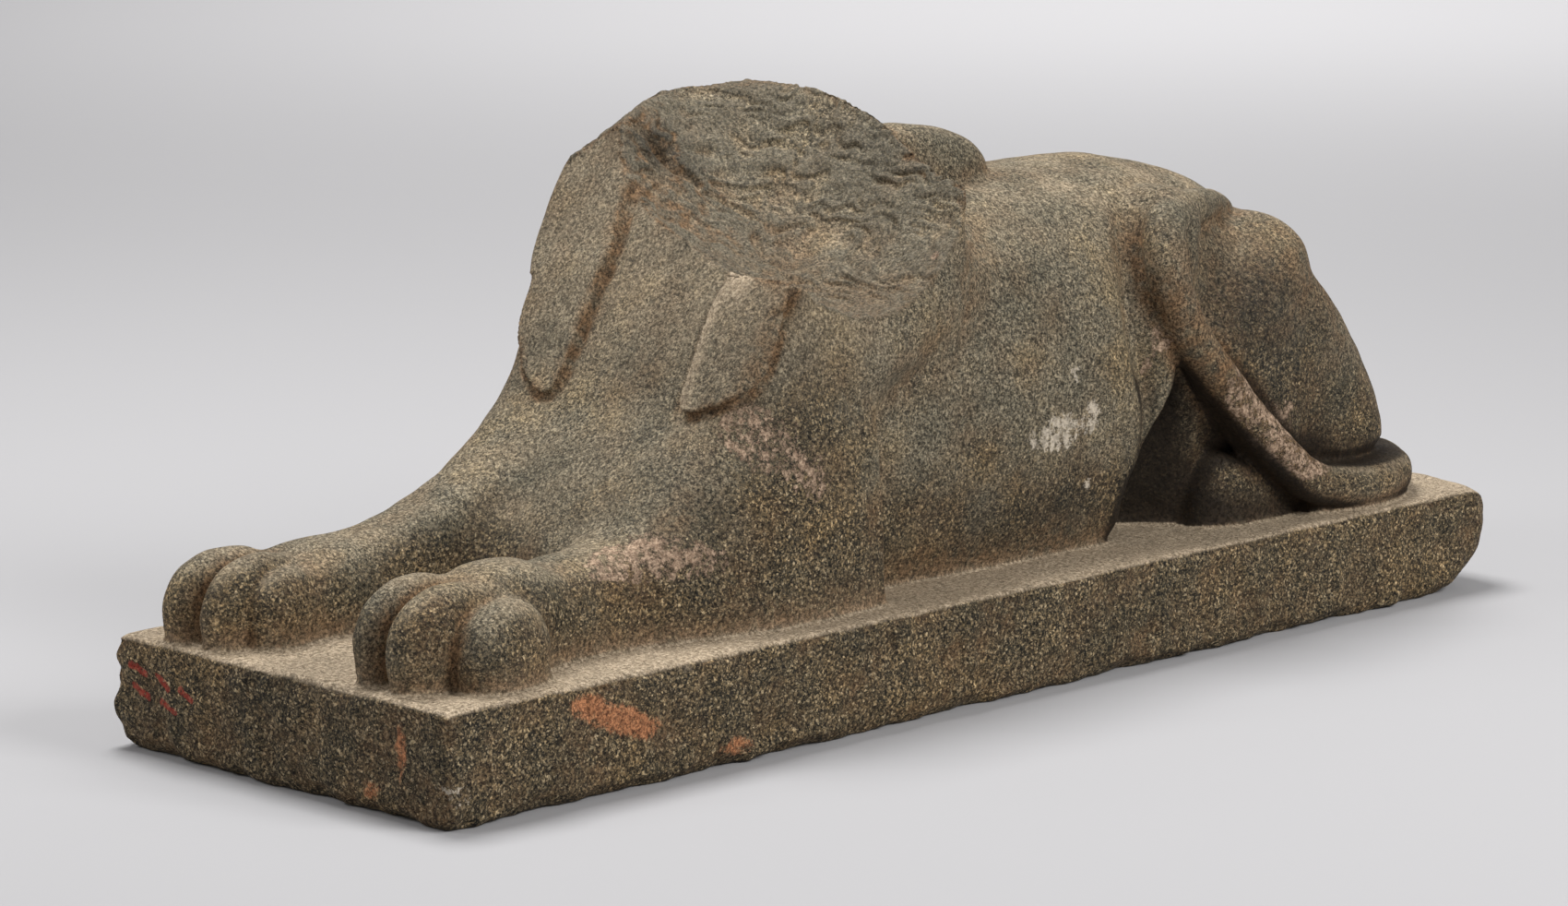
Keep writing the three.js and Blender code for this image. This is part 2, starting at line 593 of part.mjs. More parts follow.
// The place that is nearest to all the planes, held weakly to a middle point.
function nearestPlace(q, middle) {
  const hold = 1e-3 * (q[0] + q[4] + q[7]) + 1e-9;
  const rows = [[q[0] + hold, q[1], q[2]], [q[1], q[4] + hold, q[5]], [q[2], q[5], q[7] + hold]];
  const right = [hold * middle[0] - q[3], hold * middle[1] - q[6], hold * middle[2] - q[8]];
  const matrix = new THREE.Matrix3().set(...rows[0], ...rows[1], ...rows[2]).invert();
  return new THREE.Vector3(...right).applyMatrix3(matrix).toArray();
}

// Folds away the edges whose loss moves the surface least, until only so many triangles are left.
// Points on the ground stay on it, and the surface stays closed.
function thinOut(distance, { points, triangles }, kept) {
  const facesAt = points.map(() => new Set());
  const sums = points.map(() => new Array(10).fill(0));
  const changes = new Int32Array(points.length);
  triangles.forEach((corners, face) => {
    const places = corners.map((v) => points[v]);
    const middle = places[0].map((_, i) => (places[0][i] + places[1][i] + places[2][i]) / 3);
    const { normal, offset } = tangentPlane(distance, middle);
    const sum = planeSum(normal, offset, Math.hypot(...crossOf(...places)));
    for (const v of corners) {
      facesAt[v].add(face);
      sum.forEach((term, i) => { sums[v][i] += term; });
    }
  });
  const neighbours = (v) => {
    const around = [...facesAt[v]].flatMap((face) => triangles[face]);
    return new Set(around.filter((w) => w !== v));
  };
  const queue = cheapestFirst();
  const offer = (a, b) => {
    const q = sums[a].map((term, i) => term + sums[b][i]);
    const middle = points[a].map((value, i) => (value + points[b][i]) / 2);
    const grounded = [a, b].filter((v) => points[v][2] === 0);
    let place = nearestPlace(q, middle);
    if (grounded.length === 1) place = points[grounded[0]];
    if (grounded.length === 2) place[2] = 0;
    const spread = Math.hypot(...points[a].map((value, i) => value - points[b][i]));
    const cost = planeCost(q, place) + LENGTH_COST * spread ** 3;
    queue.push({ cost, a, b, place, changes: changes[a] + changes[b] });
  };
  const keepsFacing = (v, other, place) => [...facesAt[v]].every((face) => {
    const corners = triangles[face];
    if (corners.includes(other)) return true;
    const now = corners.map((w) => points[w]);
    const next = corners.map((w) => (w === v ? place : points[w]));
    const before = crossOf(...now);
    const after = crossOf(...next);
    const agree = before[0] * after[0] + before[1] * after[1] + before[2] * after[2];
    const sizes = Math.hypot(...before) * Math.hypot(...after);
    const fullness = Math.hypot(...after) / longestEdge(next) ** 2;
    const fullnessBefore = Math.hypot(...before) / longestEdge(now) ** 2;
    const leastFullness = Math.min(LEAST_SHAPE, LEAST_SHAPE_KEPT * fullnessBefore);
    return agree > LEAST_FACING * sizes && fullness > leastFullness;
  });
  // Whether the faces round a folded edge still open outwards from one another.
  const staysOpen = (a, b, place) => {
    const merged = (corners) => corners.map((w) => (w === b ? a : w));
    const facesOf = (v) => [...(v === a ? [...facesAt[a], ...facesAt[b]] : facesAt[v])]
      .filter((face) => !(triangles[face].includes(a) && triangles[face].includes(b)));
    const facing = (face) => {
      const cross = crossOf(...merged(triangles[face]).map((w) => (w === a ? place : points[w])));
      const size = Math.hypot(...cross);
      return cross.map((value) => value / size);
    };
    return facesOf(a).every((face) => {
      const corners = merged(triangles[face]);
      const here = facing(face);
      return corners.every((u, i) => facesOf(u).every((other) => {
        if (other === face || !merged(triangles[other]).includes(corners[(i + 1) % 3])) return true;
        const there = facing(other);
        return here[0] * there[0] + here[1] * there[1] + here[2] * there[2] > LEAST_OPENING;
      }));
    });
  };
  const offerAll = () => {
    points.forEach((_, a) => neighbours(a).forEach((b) => { if (a < b) offer(a, b); }));
  };
  let left = triangles.length;
  for (let pass = 0; pass < PASSES && left > kept; pass += queue.isEmpty() ? 1 : 0) {
    if (queue.isEmpty()) offerAll();
    const { a, b, place, changes: then } = queue.pop();
    if (facesAt[a].size === 0 || facesAt[b].size === 0 || then !== changes[a] + changes[b]) continue;
    const around = neighbours(b);
    const shared = [...neighbours(a)].filter((v) => around.has(v));
    if (shared.length !== 2 || !keepsFacing(a, b, place) || !keepsFacing(b, a, place)) continue;
    if (!staysOpen(a, b, place)) continue;
    for (const face of facesAt[b]) {
      if (triangles[face].includes(a)) {
        triangles[face].forEach((v) => { if (v !== b) facesAt[v].delete(face); });
        triangles[face] = null;
        left -= 1;
      } else {
        triangles[face] = triangles[face].map((v) => (v === b ? a : v));
        facesAt[a].add(face);
      }
    }
    facesAt[b].clear();
    points[a] = place;
    sums[a] = sums[a].map((term, i) => term + sums[b][i]);
    changes[a] += changes[b] + 1;
    neighbours(a).forEach((v) => offer(a, v));
  }
  return { points, triangles: triangles.filter((corners) => corners !== null) };
}

// ---------------------------------------------------------------- the statue
function statueGeometry() {
  const margin = 1.7 * LATTICE_STEP;
  const low = [-WIDTH / 2 - margin, -LENGTH / 2 - margin, -0.4 * LATTICE_STEP];
  const high = [WIDTH / 2 + margin, LENGTH / 2 + margin, BREAK_CREST + margin];
  const net = largestPiece(surfaceOf(sphinx, low, high, LATTICE_STEP));
  for (const point of net.points) {
    if (point[2] < 0.4 * LATTICE_STEP) point[2] = 0;
  }
  const { points, triangles } = thinOut(sphinx, net, TRIANGLES_KEPT);
  const geometry = new THREE.BufferGeometry();
  const corners = triangles.flat().flatMap((v) => points[v]);
  geometry.setAttribute("position", new THREE.Float32BufferAttribute(corners, 3));
  geometry.computeVertexNormals();
  return geometry;
}

const STONE = new THREE.MeshStandardMaterial({ color: 0x5a5648, roughness: 0.88, metalness: 0 });

const statue = new THREE.Mesh(statueGeometry(), STONE);
statue.name = "sphinx_statue";

const object = new THREE.Group();
object.name = "sphinx";
object.add(statue);

export default object;
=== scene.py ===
import math

import bpy
import numpy as np
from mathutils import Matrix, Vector


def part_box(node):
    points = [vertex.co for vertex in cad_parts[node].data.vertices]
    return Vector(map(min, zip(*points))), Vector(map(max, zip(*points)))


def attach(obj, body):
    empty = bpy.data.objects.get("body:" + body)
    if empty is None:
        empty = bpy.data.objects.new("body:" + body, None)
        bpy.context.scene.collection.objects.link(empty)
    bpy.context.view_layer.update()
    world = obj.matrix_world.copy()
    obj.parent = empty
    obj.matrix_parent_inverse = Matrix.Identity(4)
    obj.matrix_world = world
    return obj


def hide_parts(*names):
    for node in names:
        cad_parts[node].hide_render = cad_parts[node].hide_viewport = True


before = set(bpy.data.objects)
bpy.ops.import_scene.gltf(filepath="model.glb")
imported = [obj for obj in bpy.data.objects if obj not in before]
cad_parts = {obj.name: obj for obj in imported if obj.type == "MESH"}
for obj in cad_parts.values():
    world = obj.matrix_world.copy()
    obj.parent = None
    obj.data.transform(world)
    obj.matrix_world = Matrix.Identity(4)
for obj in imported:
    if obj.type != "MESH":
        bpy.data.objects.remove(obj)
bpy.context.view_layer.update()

# ---------------------------------------------------------------- slab
# The foot of the block, left as a low slab: flat top, upright sides, a ragged lower edge and broken
# corners. All shapes of the stone are distances in millimetres, negative inside it.
statue_low, statue_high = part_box("sphinx_statue")
SLAB_HALF = [500 * (statue_high[0] - statue_low[0]), 500 * (statue_high[1] - statue_low[1])]
SLAB_HEIGHT = 80.0
SLAB_EDGE_ROUND = 5.0
# Each break: a point of the cut, the way out of the stone, softness of its edge.
SLAB_BREAKS = [
    ((172, 522, 21), (0.45, 0.6, -0.72), 14),
    ((168, 543, 40), (0.6, 0.8, 0.0), 10),
    ((168, 532, 78), (0.3, 0.55, 0.78), 10),
    ((-172, -546, 10), (-0.6, -0.5, -0.62), 8),
    ((-168, 540, 16), (-0.6, 0.6, -0.53), 12),
]
# The ragged cut along the foot: how high and deep it is, how much both come and go, and its waves.
FOOT_HIGH, FOOT_DEEP, FOOT_CHANGE, FOOT_ROUND = 7, 9, 5, 3
FOOT_WAVES = ((190, 0.35), (83, 0.3), (41, 0.25), (19, 0.1))
FOOT_SIDE_SHIFT, FOOT_END_SHIFT, FOOT_DEPTH_SHIFT = 40, 300, 170


def smooth_min(a, b, soft):
    """The lesser of two distances, with the edge between them filled over a width of soft."""
    h = np.clip(0.5 + 0.5 * (b - a) / soft, 0, 1)
    return b + (a - b) * h - soft * h * (1 - h)


def smooth_max(a, b, soft):
    """The greater of two distances, with the edge between them rounded over a width of soft."""
    return -smooth_min(-a, -b, soft)


def unsteady_line(along):
    """A rough line about -1 to 1: sine waves of four lengths, each started by its share, added up."""
    return sum(share * np.sin(along * 2 * math.pi / length + share * 9) for length, share in FOOT_WAVES)


def slab(x, y, z):
    """Distance to a box with rounded edges, less the broken corners and the ragged lower edges."""
    half = SLAB_HEIGHT / 2
    beyond = [abs(x) - SLAB_HALF[0], abs(y) - SLAB_HALF[1], abs(z - half) - half]
    over = [side + SLAB_EDGE_ROUND for side in beyond]
    outside = np.sqrt(sum(np.maximum(side, 0) ** 2 for side in over))
    inside = np.minimum(np.maximum(np.maximum(over[0], over[1]), over[2]), 0)
    shape = outside + inside - SLAB_EDGE_ROUND
    for at, out, soft in SLAB_BREAKS:
        cut = (x - at[0]) * out[0] + (y - at[1]) * out[1] + (z - at[2]) * out[2]
        shape = smooth_max(shape, cut, soft)
    along_side, along_end = y + FOOT_SIDE_SHIFT * np.sign(x), x + FOOT_END_SHIFT * np.sign(y)
    for inwards, along in ((-beyond[0], along_side), (-beyond[1], along_end)):
        high = FOOT_HIGH + FOOT_CHANGE * unsteady_line(along)
        deep = FOOT_DEEP + FOOT_CHANGE * unsteady_line(along + FOOT_DEPTH_SHIFT)
        chamfer = (1 - z / high - inwards / deep) * high * deep / np.hypot(high, deep)
        shape = smooth_max(shape, chamfer, FOOT_ROUND)
    return shape


# ---------------------------------------------------------------- body
# The long lion's body between shoulders and rump, carved round above and nearly straight at the flanks.
# Its upright sections are squared ovals that follow rows of (y, top, half width).
BODY_ROWS = [
    (-150, 318, 108), (-120, 330, 112), (0, 344, 121), (80, 348, 125), (140, 351, 126), (190, 353, 126),
    (240, 353, 124), (300, 344, 118), (360, 316, 108), (410, 262, 96), (450, 208, 82), (480, 158, 68),
    (500, 120, 54),
]
BODY_LOW = 29.0
BODY_SQUARENESS, BACK_SQUARENESS = 2.8, 2.5
BODY_FRONT, BODY_FRONT_ROUND = -132.0, 20
BODY_REAR, BODY_REAR_SLOPE, BODY_REAR_ROUND = 495.0, 0.9, 50


def curve_through(rows, t, column=1):
    """Smooth curve through rows of (station, sizes): cubic pieces whose slopes never overshoot."""
    at = np.array([row[0] for row in rows], dtype=np.float32)
    value = np.array([row[column] for row in rows], dtype=np.float32)
    gap = np.diff(at)
    rise = np.diff(value) / gap
    product = rise[:-1] * rise[1:]
    total = np.where(product > 0, rise[:-1] + rise[1:], 1)
    slope = np.concatenate([rise[:1], np.where(product > 0, 2 * product / total, 0), rise[-1:]])
    t = np.clip(t, at[0], at[-1])
    i = np.clip(np.searchsorted(at, t) - 1, 0, len(gap) - 1)
    u = (t - at[i]) / gap[i]
    leave = (1 - u) ** 2 * ((1 + 2 * u) * value[i] + u * gap[i] * slope[i])
    arrive = u ** 2 * ((3 - 2 * u) * value[i + 1] - (1 - u) * gap[i] * slope[i + 1])
    return leave + arrive


def oval(offsets, radii, power):
    """Distance to an oval whose sides are squared off: how far its size passes one, over its slope."""
    parts = [abs(offset) / radius for offset, radius in zip(offsets, radii)]
    total = sum(part ** power for part in parts) + 1e-9
    steep = np.sqrt(sum((part ** (power - 1) / radius) ** 2 for part, radius in zip(parts, radii)))
    return (total ** (1 / power) - 1) / np.maximum(steep * total ** (1 / power - 1), 1e-4)


def body(x, y, z):
    """Distance to the squared oval of each station, closed at the rump and inside the chest."""
    half = (curve_through(BODY_ROWS, y) - BODY_LOW) / 2
    squareness = np.where(z > BODY_LOW + half, BACK_SQUARENESS, BODY_SQUARENESS)
    ring = oval([x, z - BODY_LOW - half], [curve_through(BODY_ROWS, y, 2), half], squareness)
    closed_behind = smooth_max(ring, (y - BODY_REAR) * BODY_REAR_SLOPE, BODY_REAR_ROUND)
    return smooth_max(closed_behind, BODY_FRONT - y, BODY_FRONT_ROUND)


# ---------------------------------------------------------------- chest, shoulders and headcloth
# One block: a chest that leans back, and shoulders that flare from its corners. The two ends of the
# headcloth lie on it a few millimetres proud, with a shallow groove round them. Rows are (z, size).
CHEST_FRONT = [
    (60, -350), (100, -342), (128, -330), (160, -304), (190, -276), (224, -245), (275, -212), (330, -173),
    (370, -146), (450, -100),
]
CHEST_HALF_WIDTH = [
    (60, 112), (160, 119), (224, 122), (262, 123), (290, 124), (312, 133), (345, 139), (385, 142), (450, 142),
]
SHOULDER_HALF_WIDTH = [
    (60, 145), (120, 144), (200, 141), (240, 135), (280, 127), (320, 123), (356, 119), (400, 115), (450, 110),
]
SHOULDER_REAR = [
    (60, -112), (196, -114), (222, -100), (250, -62), (275, -24), (300, -6), (331, -4), (360, 6), (400, 14),
    (430, 0), (450, -20),
]
CHEST_CORNER_ROUND = [(60, 40), (200, 34), (250, 22), (330, 18), (450, 24)]
SHOULDER_REAR_ROUND = [(60, 8), (190, 10), (215, 26), (250, 60), (300, 44), (340, 18), (450, 24)]
SHOULDER_BLEND = [(60, 7), (190, 9), (222, 26), (250, 56), (310, 56), (400, 30)]
SHOULDER_FLARE, FLARE_FROM, FLARE_ROUND = 0.29, 6, 6
# How much of a level step each leaning face is really away.
FRONT_LEAN, SIDE_LEAN, REAR_LEAN, WRAP_LEAN = 0.8, 0.97, 0.85, 0.9
LAPPET_RAISE, LAPPET_EDGE, LAPPET_CORNER, LAPPET_FOOT_ROUND = 5.0, 1.5, 6, 12
LEFT_LAPPET_INNER = [(225, 70), (264, 65), (294, 61), (330, 56), (450, 50)]
RIGHT_LAPPET_INNER = [(222, 53), (264, 54), (312, 57), (336, 62), (357, 69), (450, 90)]
# Lowest point of each end, its place across, and how fast its edge curves up from there.
LEFT_LAPPET_FOOT = (224.0, 68.0, 0.006)
RIGHT_LAPPET_FOOT = (221.5, 58.0, 0.0115)
LAPPET_WRAP = [(216, 12), (250, 11), (270, 9), (288, 5), (306, -2), (340, -8)]
# The shallow groove round the raised ends: its depth, how far out it lies, its width.
LAPPET_GROOVE, LAPPET_GROOVE_OUT, LAPPET_GROOVE_WIDTH = 1.6, 3.5, 2.5
RIGHT_WING_RAISE = 3.0
RIGHT_WING_WRAP = 52.0
RIGHT_WING_FROM = 272.0
RIGHT_WING_FULL = 310.0


def smooth_step(low, high, t):
    """Rises from 0 at low to 1 at high with level ends."""
    u = np.clip((t - low) / (high - low), 0, 1)
    return u * u * (3 - 2 * u)


def right_wing(x, z):
    """1 high up on the right, where the headcloth still turns round onto the shoulder's side."""
    return np.where(x < 0, smooth_step(RIGHT_WING_FROM, RIGHT_WING_FULL, z), 0)


def inside_lappet(x, behind_front, z):
    """How far a place lies inside the raised headcloth end of its side."""
    wrap = curve_through(LAPPET_WRAP, z)
    wrap = wrap + (RIGHT_WING_WRAP - wrap) * right_wing(x, z)
    inner = np.where(x > 0, curve_through(LEFT_LAPPET_INNER, z), curve_through(RIGHT_LAPPET_INNER, z))
    across = smooth_min(abs(x) - inner, (wrap - behind_front) * WRAP_LEAN, LAPPET_CORNER)
    foot = [np.where(x > 0, left, right) for left, right in zip(LEFT_LAPPET_FOOT, RIGHT_LAPPET_FOOT)]
    above_foot = z - foot[0] - foot[2] * (abs(x) - foot[1]) ** 2
    return smooth_min(across, above_foot, LAPPET_FOOT_ROUND)


def forequarter(x, y, z):
    """Distance to the leaning front, the flaring sides and the rear of the shoulders, rounded together."""
    outward = abs(x)
    behind_front = y - curve_through(CHEST_FRONT, z)
    corner = curve_through(CHEST_HALF_WIDTH, z)
    widest = curve_through(SHOULDER_HALF_WIDTH, z)
    run = np.maximum(behind_front - FLARE_FROM, 0) * SHOULDER_FLARE
    narrowing = smooth_max(corner - run, widest, FLARE_ROUND)
    widening = smooth_min(corner + run, widest, FLARE_ROUND)
    sides = (outward - np.where(corner > widest, narrowing, widening)) * SIDE_LEAN
    shape = smooth_max(-behind_front * FRONT_LEAN, sides, curve_through(CHEST_CORNER_ROUND, z))
    rear = (y - curve_through(SHOULDER_REAR, z)) * REAR_LEAN
    shape = smooth_max(shape, rear, curve_through(SHOULDER_REAR_ROUND, z))
    inside = inside_lappet(x, behind_front, z)
    raised = LAPPET_RAISE + RIGHT_WING_RAISE * right_wing(x, z)
    groove = LAPPET_GROOVE * np.exp(-((inside + LAPPET_GROOVE_OUT) / LAPPET_GROOVE_WIDTH) ** 2)
    return shape - raised * smooth_step(-LAPPET_EDGE, LAPPET_EDGE, inside) + groove


# ---------------------------------------------------------------- plait
# The bound end of the headcloth, lying on the back behind the break as a long low lump.
PLAIT_AT, PLAIT_RADII, PLAIT_SQUARENESS, PLAIT_TILT = (0, 68, 354), (27, 65, 36), 2.6, -12


def egg(x, y, z, at, radii, squareness, tilt=0.0, turn=0.0):
    """Distance to a squared egg shape, turned about Z and then tilted about X by degrees."""
    a, b = math.radians(turn), math.radians(tilt)
    across = (x - at[0]) * math.cos(a) + (y - at[1]) * math.sin(a)
    along = (y - at[1]) * math.cos(a) - (x - at[0]) * math.sin(a)
    ahead = along * math.cos(b) + (z - at[2]) * math.sin(b)
    up = (z - at[2]) * math.cos(b) - along * math.sin(b)
    return oval([across, ahead, up], radii, squareness)


def plait(x, y, z):
    """Distance to the plait's egg shape."""
    return egg(x, y, z, PLAIT_AT, PLAIT_RADII, PLAIT_SQUARENESS, PLAIT_TILT)


# ---------------------------------------------------------------- forelegs and paws
# The forelegs reach forward from the chest, the left one lower where its top has been worn down. Each
# paw is four toes and a wrist grown together. Rows are (y, size), measured outwards from the middle.
LEFT_LEG_TOP = [
    (-450, 130), (-413, 139), (-367, 143), (-325, 146), (-282, 150), (-240, 158), (-200, 170), (-150, 190),
]
RIGHT_LEG_TOP = [
    (-475, 134), (-433, 139), (-392, 145), (-358, 155), (-323, 169), (-290, 185), (-240, 206), (-150, 225),
]
LEG_INNER = [(-470, 50), (-400, 48), (-330, 42), (-250, 30), (-150, 30)]
LEG_OUTER = [(-470, 126), (-424, 122), (-380, 117), (-322, 119), (-229, 138), (-180, 143), (-150, 143)]
LEG_LOW = 38.0
LEG_FRONT, LEG_FRONT_ROUND = -470.0, 20
LEG_REAR, LEG_REAR_ROUND = -140.0, 10
LEG_SQUARENESS = 3.0
# Side, middle, front and size of each paw, and how much higher its toes and its wrist are.
PAWS = [(1, 90, -541, 1.0, 9, 14), (-1, 99, -545, 0.98, 3, 0)]
TOE_SQUARENESS = 2.3
# Each toe: aside, back, height, tilt, turn, radii. The outer two are rounder and lower.
TOES = [
    (-17, 2, 94, 5, -3, (19, 48, 44)), (16, 0, 94, 7, 4, (22, 48, 44)),
    (-33, 28, 90, 0, -14, (19, 36, 39)), (42, 34, 87, 0, 14, (24, 42, 40)),
]
TOE_BLEND, WRIST_BLEND = 2.0, 8
WRIST_ASIDE, WRIST_BACK, WRIST_HEIGHT, WRIST_RADII, WRIST_SQUARENESS = -2, 108, 92, (37, 50, 46), 2.4


def foreleg(x, y, z):
    """Distance to the squared oval of each station of both forelegs."""
    top = np.where(x > 0, curve_through(LEFT_LEG_TOP, y), curve_through(RIGHT_LEG_TOP, y))
    half_height = (top - LEG_LOW) / 2
    inner = curve_through(LEG_INNER, y)
    half_width = (curve_through(LEG_OUTER, y) - inner) / 2
    offsets = [abs(x) - inner - half_width, z - LEG_LOW - half_height]
    ring = oval(offsets, [half_width, half_height], LEG_SQUARENESS)
    return smooth_max(smooth_max(ring, LEG_FRONT - y, LEG_FRONT_ROUND), y - LEG_REAR, LEG_REAR_ROUND)


def forepaw(x, y, z, side, middle, front, size, toe_lift, wrist_lift):
    """Distance to four toes and a wrist, softly joined."""
    shape = np.full_like(x, 1e3)
    for aside, back, height, tilt, turn, radii in TOES:
        scaled = [radius * size for radius in radii]
        at = (middle + aside * size, front + (radii[1] + back) * size, height + toe_lift)
        toe = egg(x * side, y, z, at, scaled, TOE_SQUARENESS, tilt, turn)
        shape = smooth_min(shape, toe, TOE_BLEND)
    wrist_at = (middle + WRIST_ASIDE, front + WRIST_BACK * size, WRIST_HEIGHT + wrist_lift)
    wrist = egg(x * side, y, z, wrist_at, WRIST_RADII, WRIST_SQUARENESS)
    return smooth_min(shape, wrist, WRIST_BLEND)


# ---------------------------------------------------------------- hind legs
# Each folded hind leg is a thigh in two masses, a fold down the front of the knee, a deep hollow under
# it down to the slab, and the paw that lies in the hollow. A soft groove parts the fold from the flank.
THIGH_UPPER = ((302, 215), (50, 110), 2.4, -42)
THIGH_LOWER = ((390, 168), (114, 69), 2.4, -54)
THIGH_MIDDLE = ((329, 187), (90, 79), 2.4, -45)
THIGH_BLEND = 24
THIGH_OUT, THIGH_ROUND = 136, 60
# The thigh is let in under the tail: how deep, and how near the tail that is full and ends.
THIGH_RECESS, THIGH_RECESS_FULL, THIGH_RECESS_NONE = 5.0, 2, 13
KNEE_LINE = [
    (90, 232, 306, 34), (98, 216, 262, 31), (100, 204, 215, 27), (95, 192, 150, 24), (87, 176, 84, 20),
]
FLANK_GROOVE = [(200, 330), (184, 300), (174, 262), (176, 225), (188, 185), (188, 150), (176, 112)]
FLANK_GROOVE_DEPTH, FLANK_GROOVE_WIDTH = 9.0, 11.0
FLANK_GROOVE_NONE, FLANK_GROOVE_FULL = 70, 110
HOLLOW_TOP, HOLLOW_FRONT_FOOT, HOLLOW_REAR_FOOT = (228, 226), (162, 84), (370, 82)
HOLLOW_INNER = [(80, 66), (150, 82), (226, 104)]
HOLLOW_BELOW_TOP, HOLLOW_ROUND, HOLLOW_FOOT_ROUND, HOLLOW_INNER_ROUND = 2, 12, 4, 20
SHIN_OUT, SHIN_FROM, SHIN_FULL = 34, 206, 250
HIND_PAW = ((102, 308, 84), (35, 62, 60), 3.0, -6)
HIND_PAW_TOP = (250, 150)
HIND_PAW_SLOPE, HIND_PAW_RISE, HIND_PAW_ROUND = 0.42, 0.9, 12


def path_through(rows, steps):
    """Points of a Catmull-Rom curve through rows of numbers, with the given steps between rows."""
    rows = np.array(rows, dtype=np.float64)
    at = np.arange(len(rows) - 1)
    before, start, end, after = (rows[np.clip(at + k, 0, len(rows) - 1)][:, None] for k in (-1, 0, 1, 2))
    u = (np.arange(steps) / steps)[None, :, None]
    bend = 2 * before - 5 * start + 4 * end - after
    twist = 3 * start - before - 3 * end + after
    points = 0.5 * (2 * start + (end - before) * u + bend * u ** 2 + twist * u ** 3)
    return np.vstack([points.reshape(-1, rows.shape[1]), rows[-1:]])


def rope(x, y, z, points):
    """Distance to round cones joined end to end along points of (x, y, z, radius)."""
    nearest = np.full_like(x, 1e3)
    for start, end in zip(points[:-1], points[1:]):
        v = (end - start)[:3]
        w = [x - start[0], y - start[1], z - start[2]]
        t = np.clip((v[0] * w[0] + v[1] * w[1] + v[2] * w[2]) / (v @ v), 0, 1)
        away = np.sqrt((w[0] - v[0] * t) ** 2 + (w[1] - v[1] * t) ** 2 + (w[2] - v[2] * t) ** 2)
        nearest = np.minimum(nearest, away - start[3] - (end[3] - start[3]) * t)
    return nearest


def line_distance(u, v, points):
    """Distance in a plane to a line of (u, v) points."""
    nearest = np.full_like(u, 1e3)
    for start, end in zip(points[:-1], points[1:]):
        du, dv = end[0] - start[0], end[1] - start[1]
        t = np.clip(((u - start[0]) * du + (v - start[1]) * dv) / (du * du + dv * dv), 0, 1)
        nearest = np.minimum(nearest, np.hypot(u - start[0] - du * t, v - start[1] - dv * t))
    return nearest


knee_line = path_through(KNEE_LINE, 4)
flank_groove = path_through(FLANK_GROOVE, 3)


def thigh(outward, y, z):
    """Distance to three tilted ovals of the side view, joined and rounded off at the thigh's outer side."""
    outline = np.full_like(y, 1e3)
    for at, radii, squareness, tilt in (THIGH_UPPER, THIGH_MIDDLE, THIGH_LOWER):
        turn = math.radians(tilt)
        ahead = (y - at[0]) * math.cos(turn) + (z - at[1]) * math.sin(turn)
        up = (z - at[1]) * math.cos(turn) - (y - at[0]) * math.sin(turn)
        outline = smooth_min(outline, oval([ahead, up], radii, squareness), THIGH_BLEND)
    return smooth_max(outline, outward - THIGH_OUT, THIGH_ROUND)


def beyond_line(y, z, start, end):
    """Distance in the side view out of a line, on its left going from start to end."""
    dy, dz = end[0] - start[0], end[1] - start[1]
    return ((z - start[1]) * dy - (y - start[0]) * dz) / math.hypot(dy, dz)


def leg_hollow(outward, y, z):
    """Distance to a leaning triangle in the side view that narrows inwards."""
    ahead = beyond_line(y, z, HOLLOW_FRONT_FOOT, HOLLOW_TOP)
    above = beyond_line(y, z, HOLLOW_TOP, HOLLOW_REAR_FOOT)
    outline = smooth_max(ahead, above, HOLLOW_ROUND)
    outline = smooth_max(outline, SLAB_HEIGHT - HOLLOW_BELOW_TOP - z, HOLLOW_FOOT_ROUND)
    inner = curve_through(HOLLOW_INNER, z) + SHIN_OUT * smooth_step(SHIN_FROM, SHIN_FULL, y)
    return smooth_max(outline, inner - outward, HOLLOW_INNER_ROUND)


def hind_paw(outward, y, z):
    """Distance to a squared egg cut by a top that slopes down to the rear."""
    top = (z - HIND_PAW_TOP[1]) * HIND_PAW_RISE + (y - HIND_PAW_TOP[0]) * HIND_PAW_SLOPE
    return smooth_max(egg(outward, y, z, *HIND_PAW), top, HIND_PAW_ROUND)


# ---------------------------------------------------------------- tail
# The tail comes round the rump on the slab, runs forward along the left thigh and climbs over the hip
# in front of it. Stone is left standing between its low part and the rump. Rows: x, y, z, radius.
TAIL_LINE = [
    (15, 496, 97, 18), (66, 502, 96, 18), (108, 490, 95, 18), (135, 460, 95, 18), (148, 422, 95, 17.5),
    (149, 384, 98, 17), (147, 345, 108, 16.5), (143, 313, 132, 16.5), (139, 282, 163, 16.5),
    (136, 252, 194, 16.5), (133, 229, 220, 16.5), (130, 211, 249, 16.5), (127, 202, 277, 16.5),
    (121, 205, 301, 16), (110, 220, 316, 15), (94, 262, 318, 14), (72, 312, 314, 12), (58, 345, 308, 8),
]
TAIL_BED_AT, TAIL_BED_RADII, TAIL_BED_SQUARENESS = (40, 402), (112, 102), 3
TAIL_BED_TOP, TAIL_BED_TOP_ROUND, TAIL_BED_FRONT, TAIL_BED_FRONT_ROUND = 108, 4, 352, 8
# The stone under the tail's low part: how far inwards it reaches, and the heights where it ends and is full.
TAIL_UNDER, TAIL_UNDER_NONE, TAIL_UNDER_FULL, TAIL_BLEND = 15.0, 205, 155, 4
tail_line = path_through(TAIL_LINE, 3)


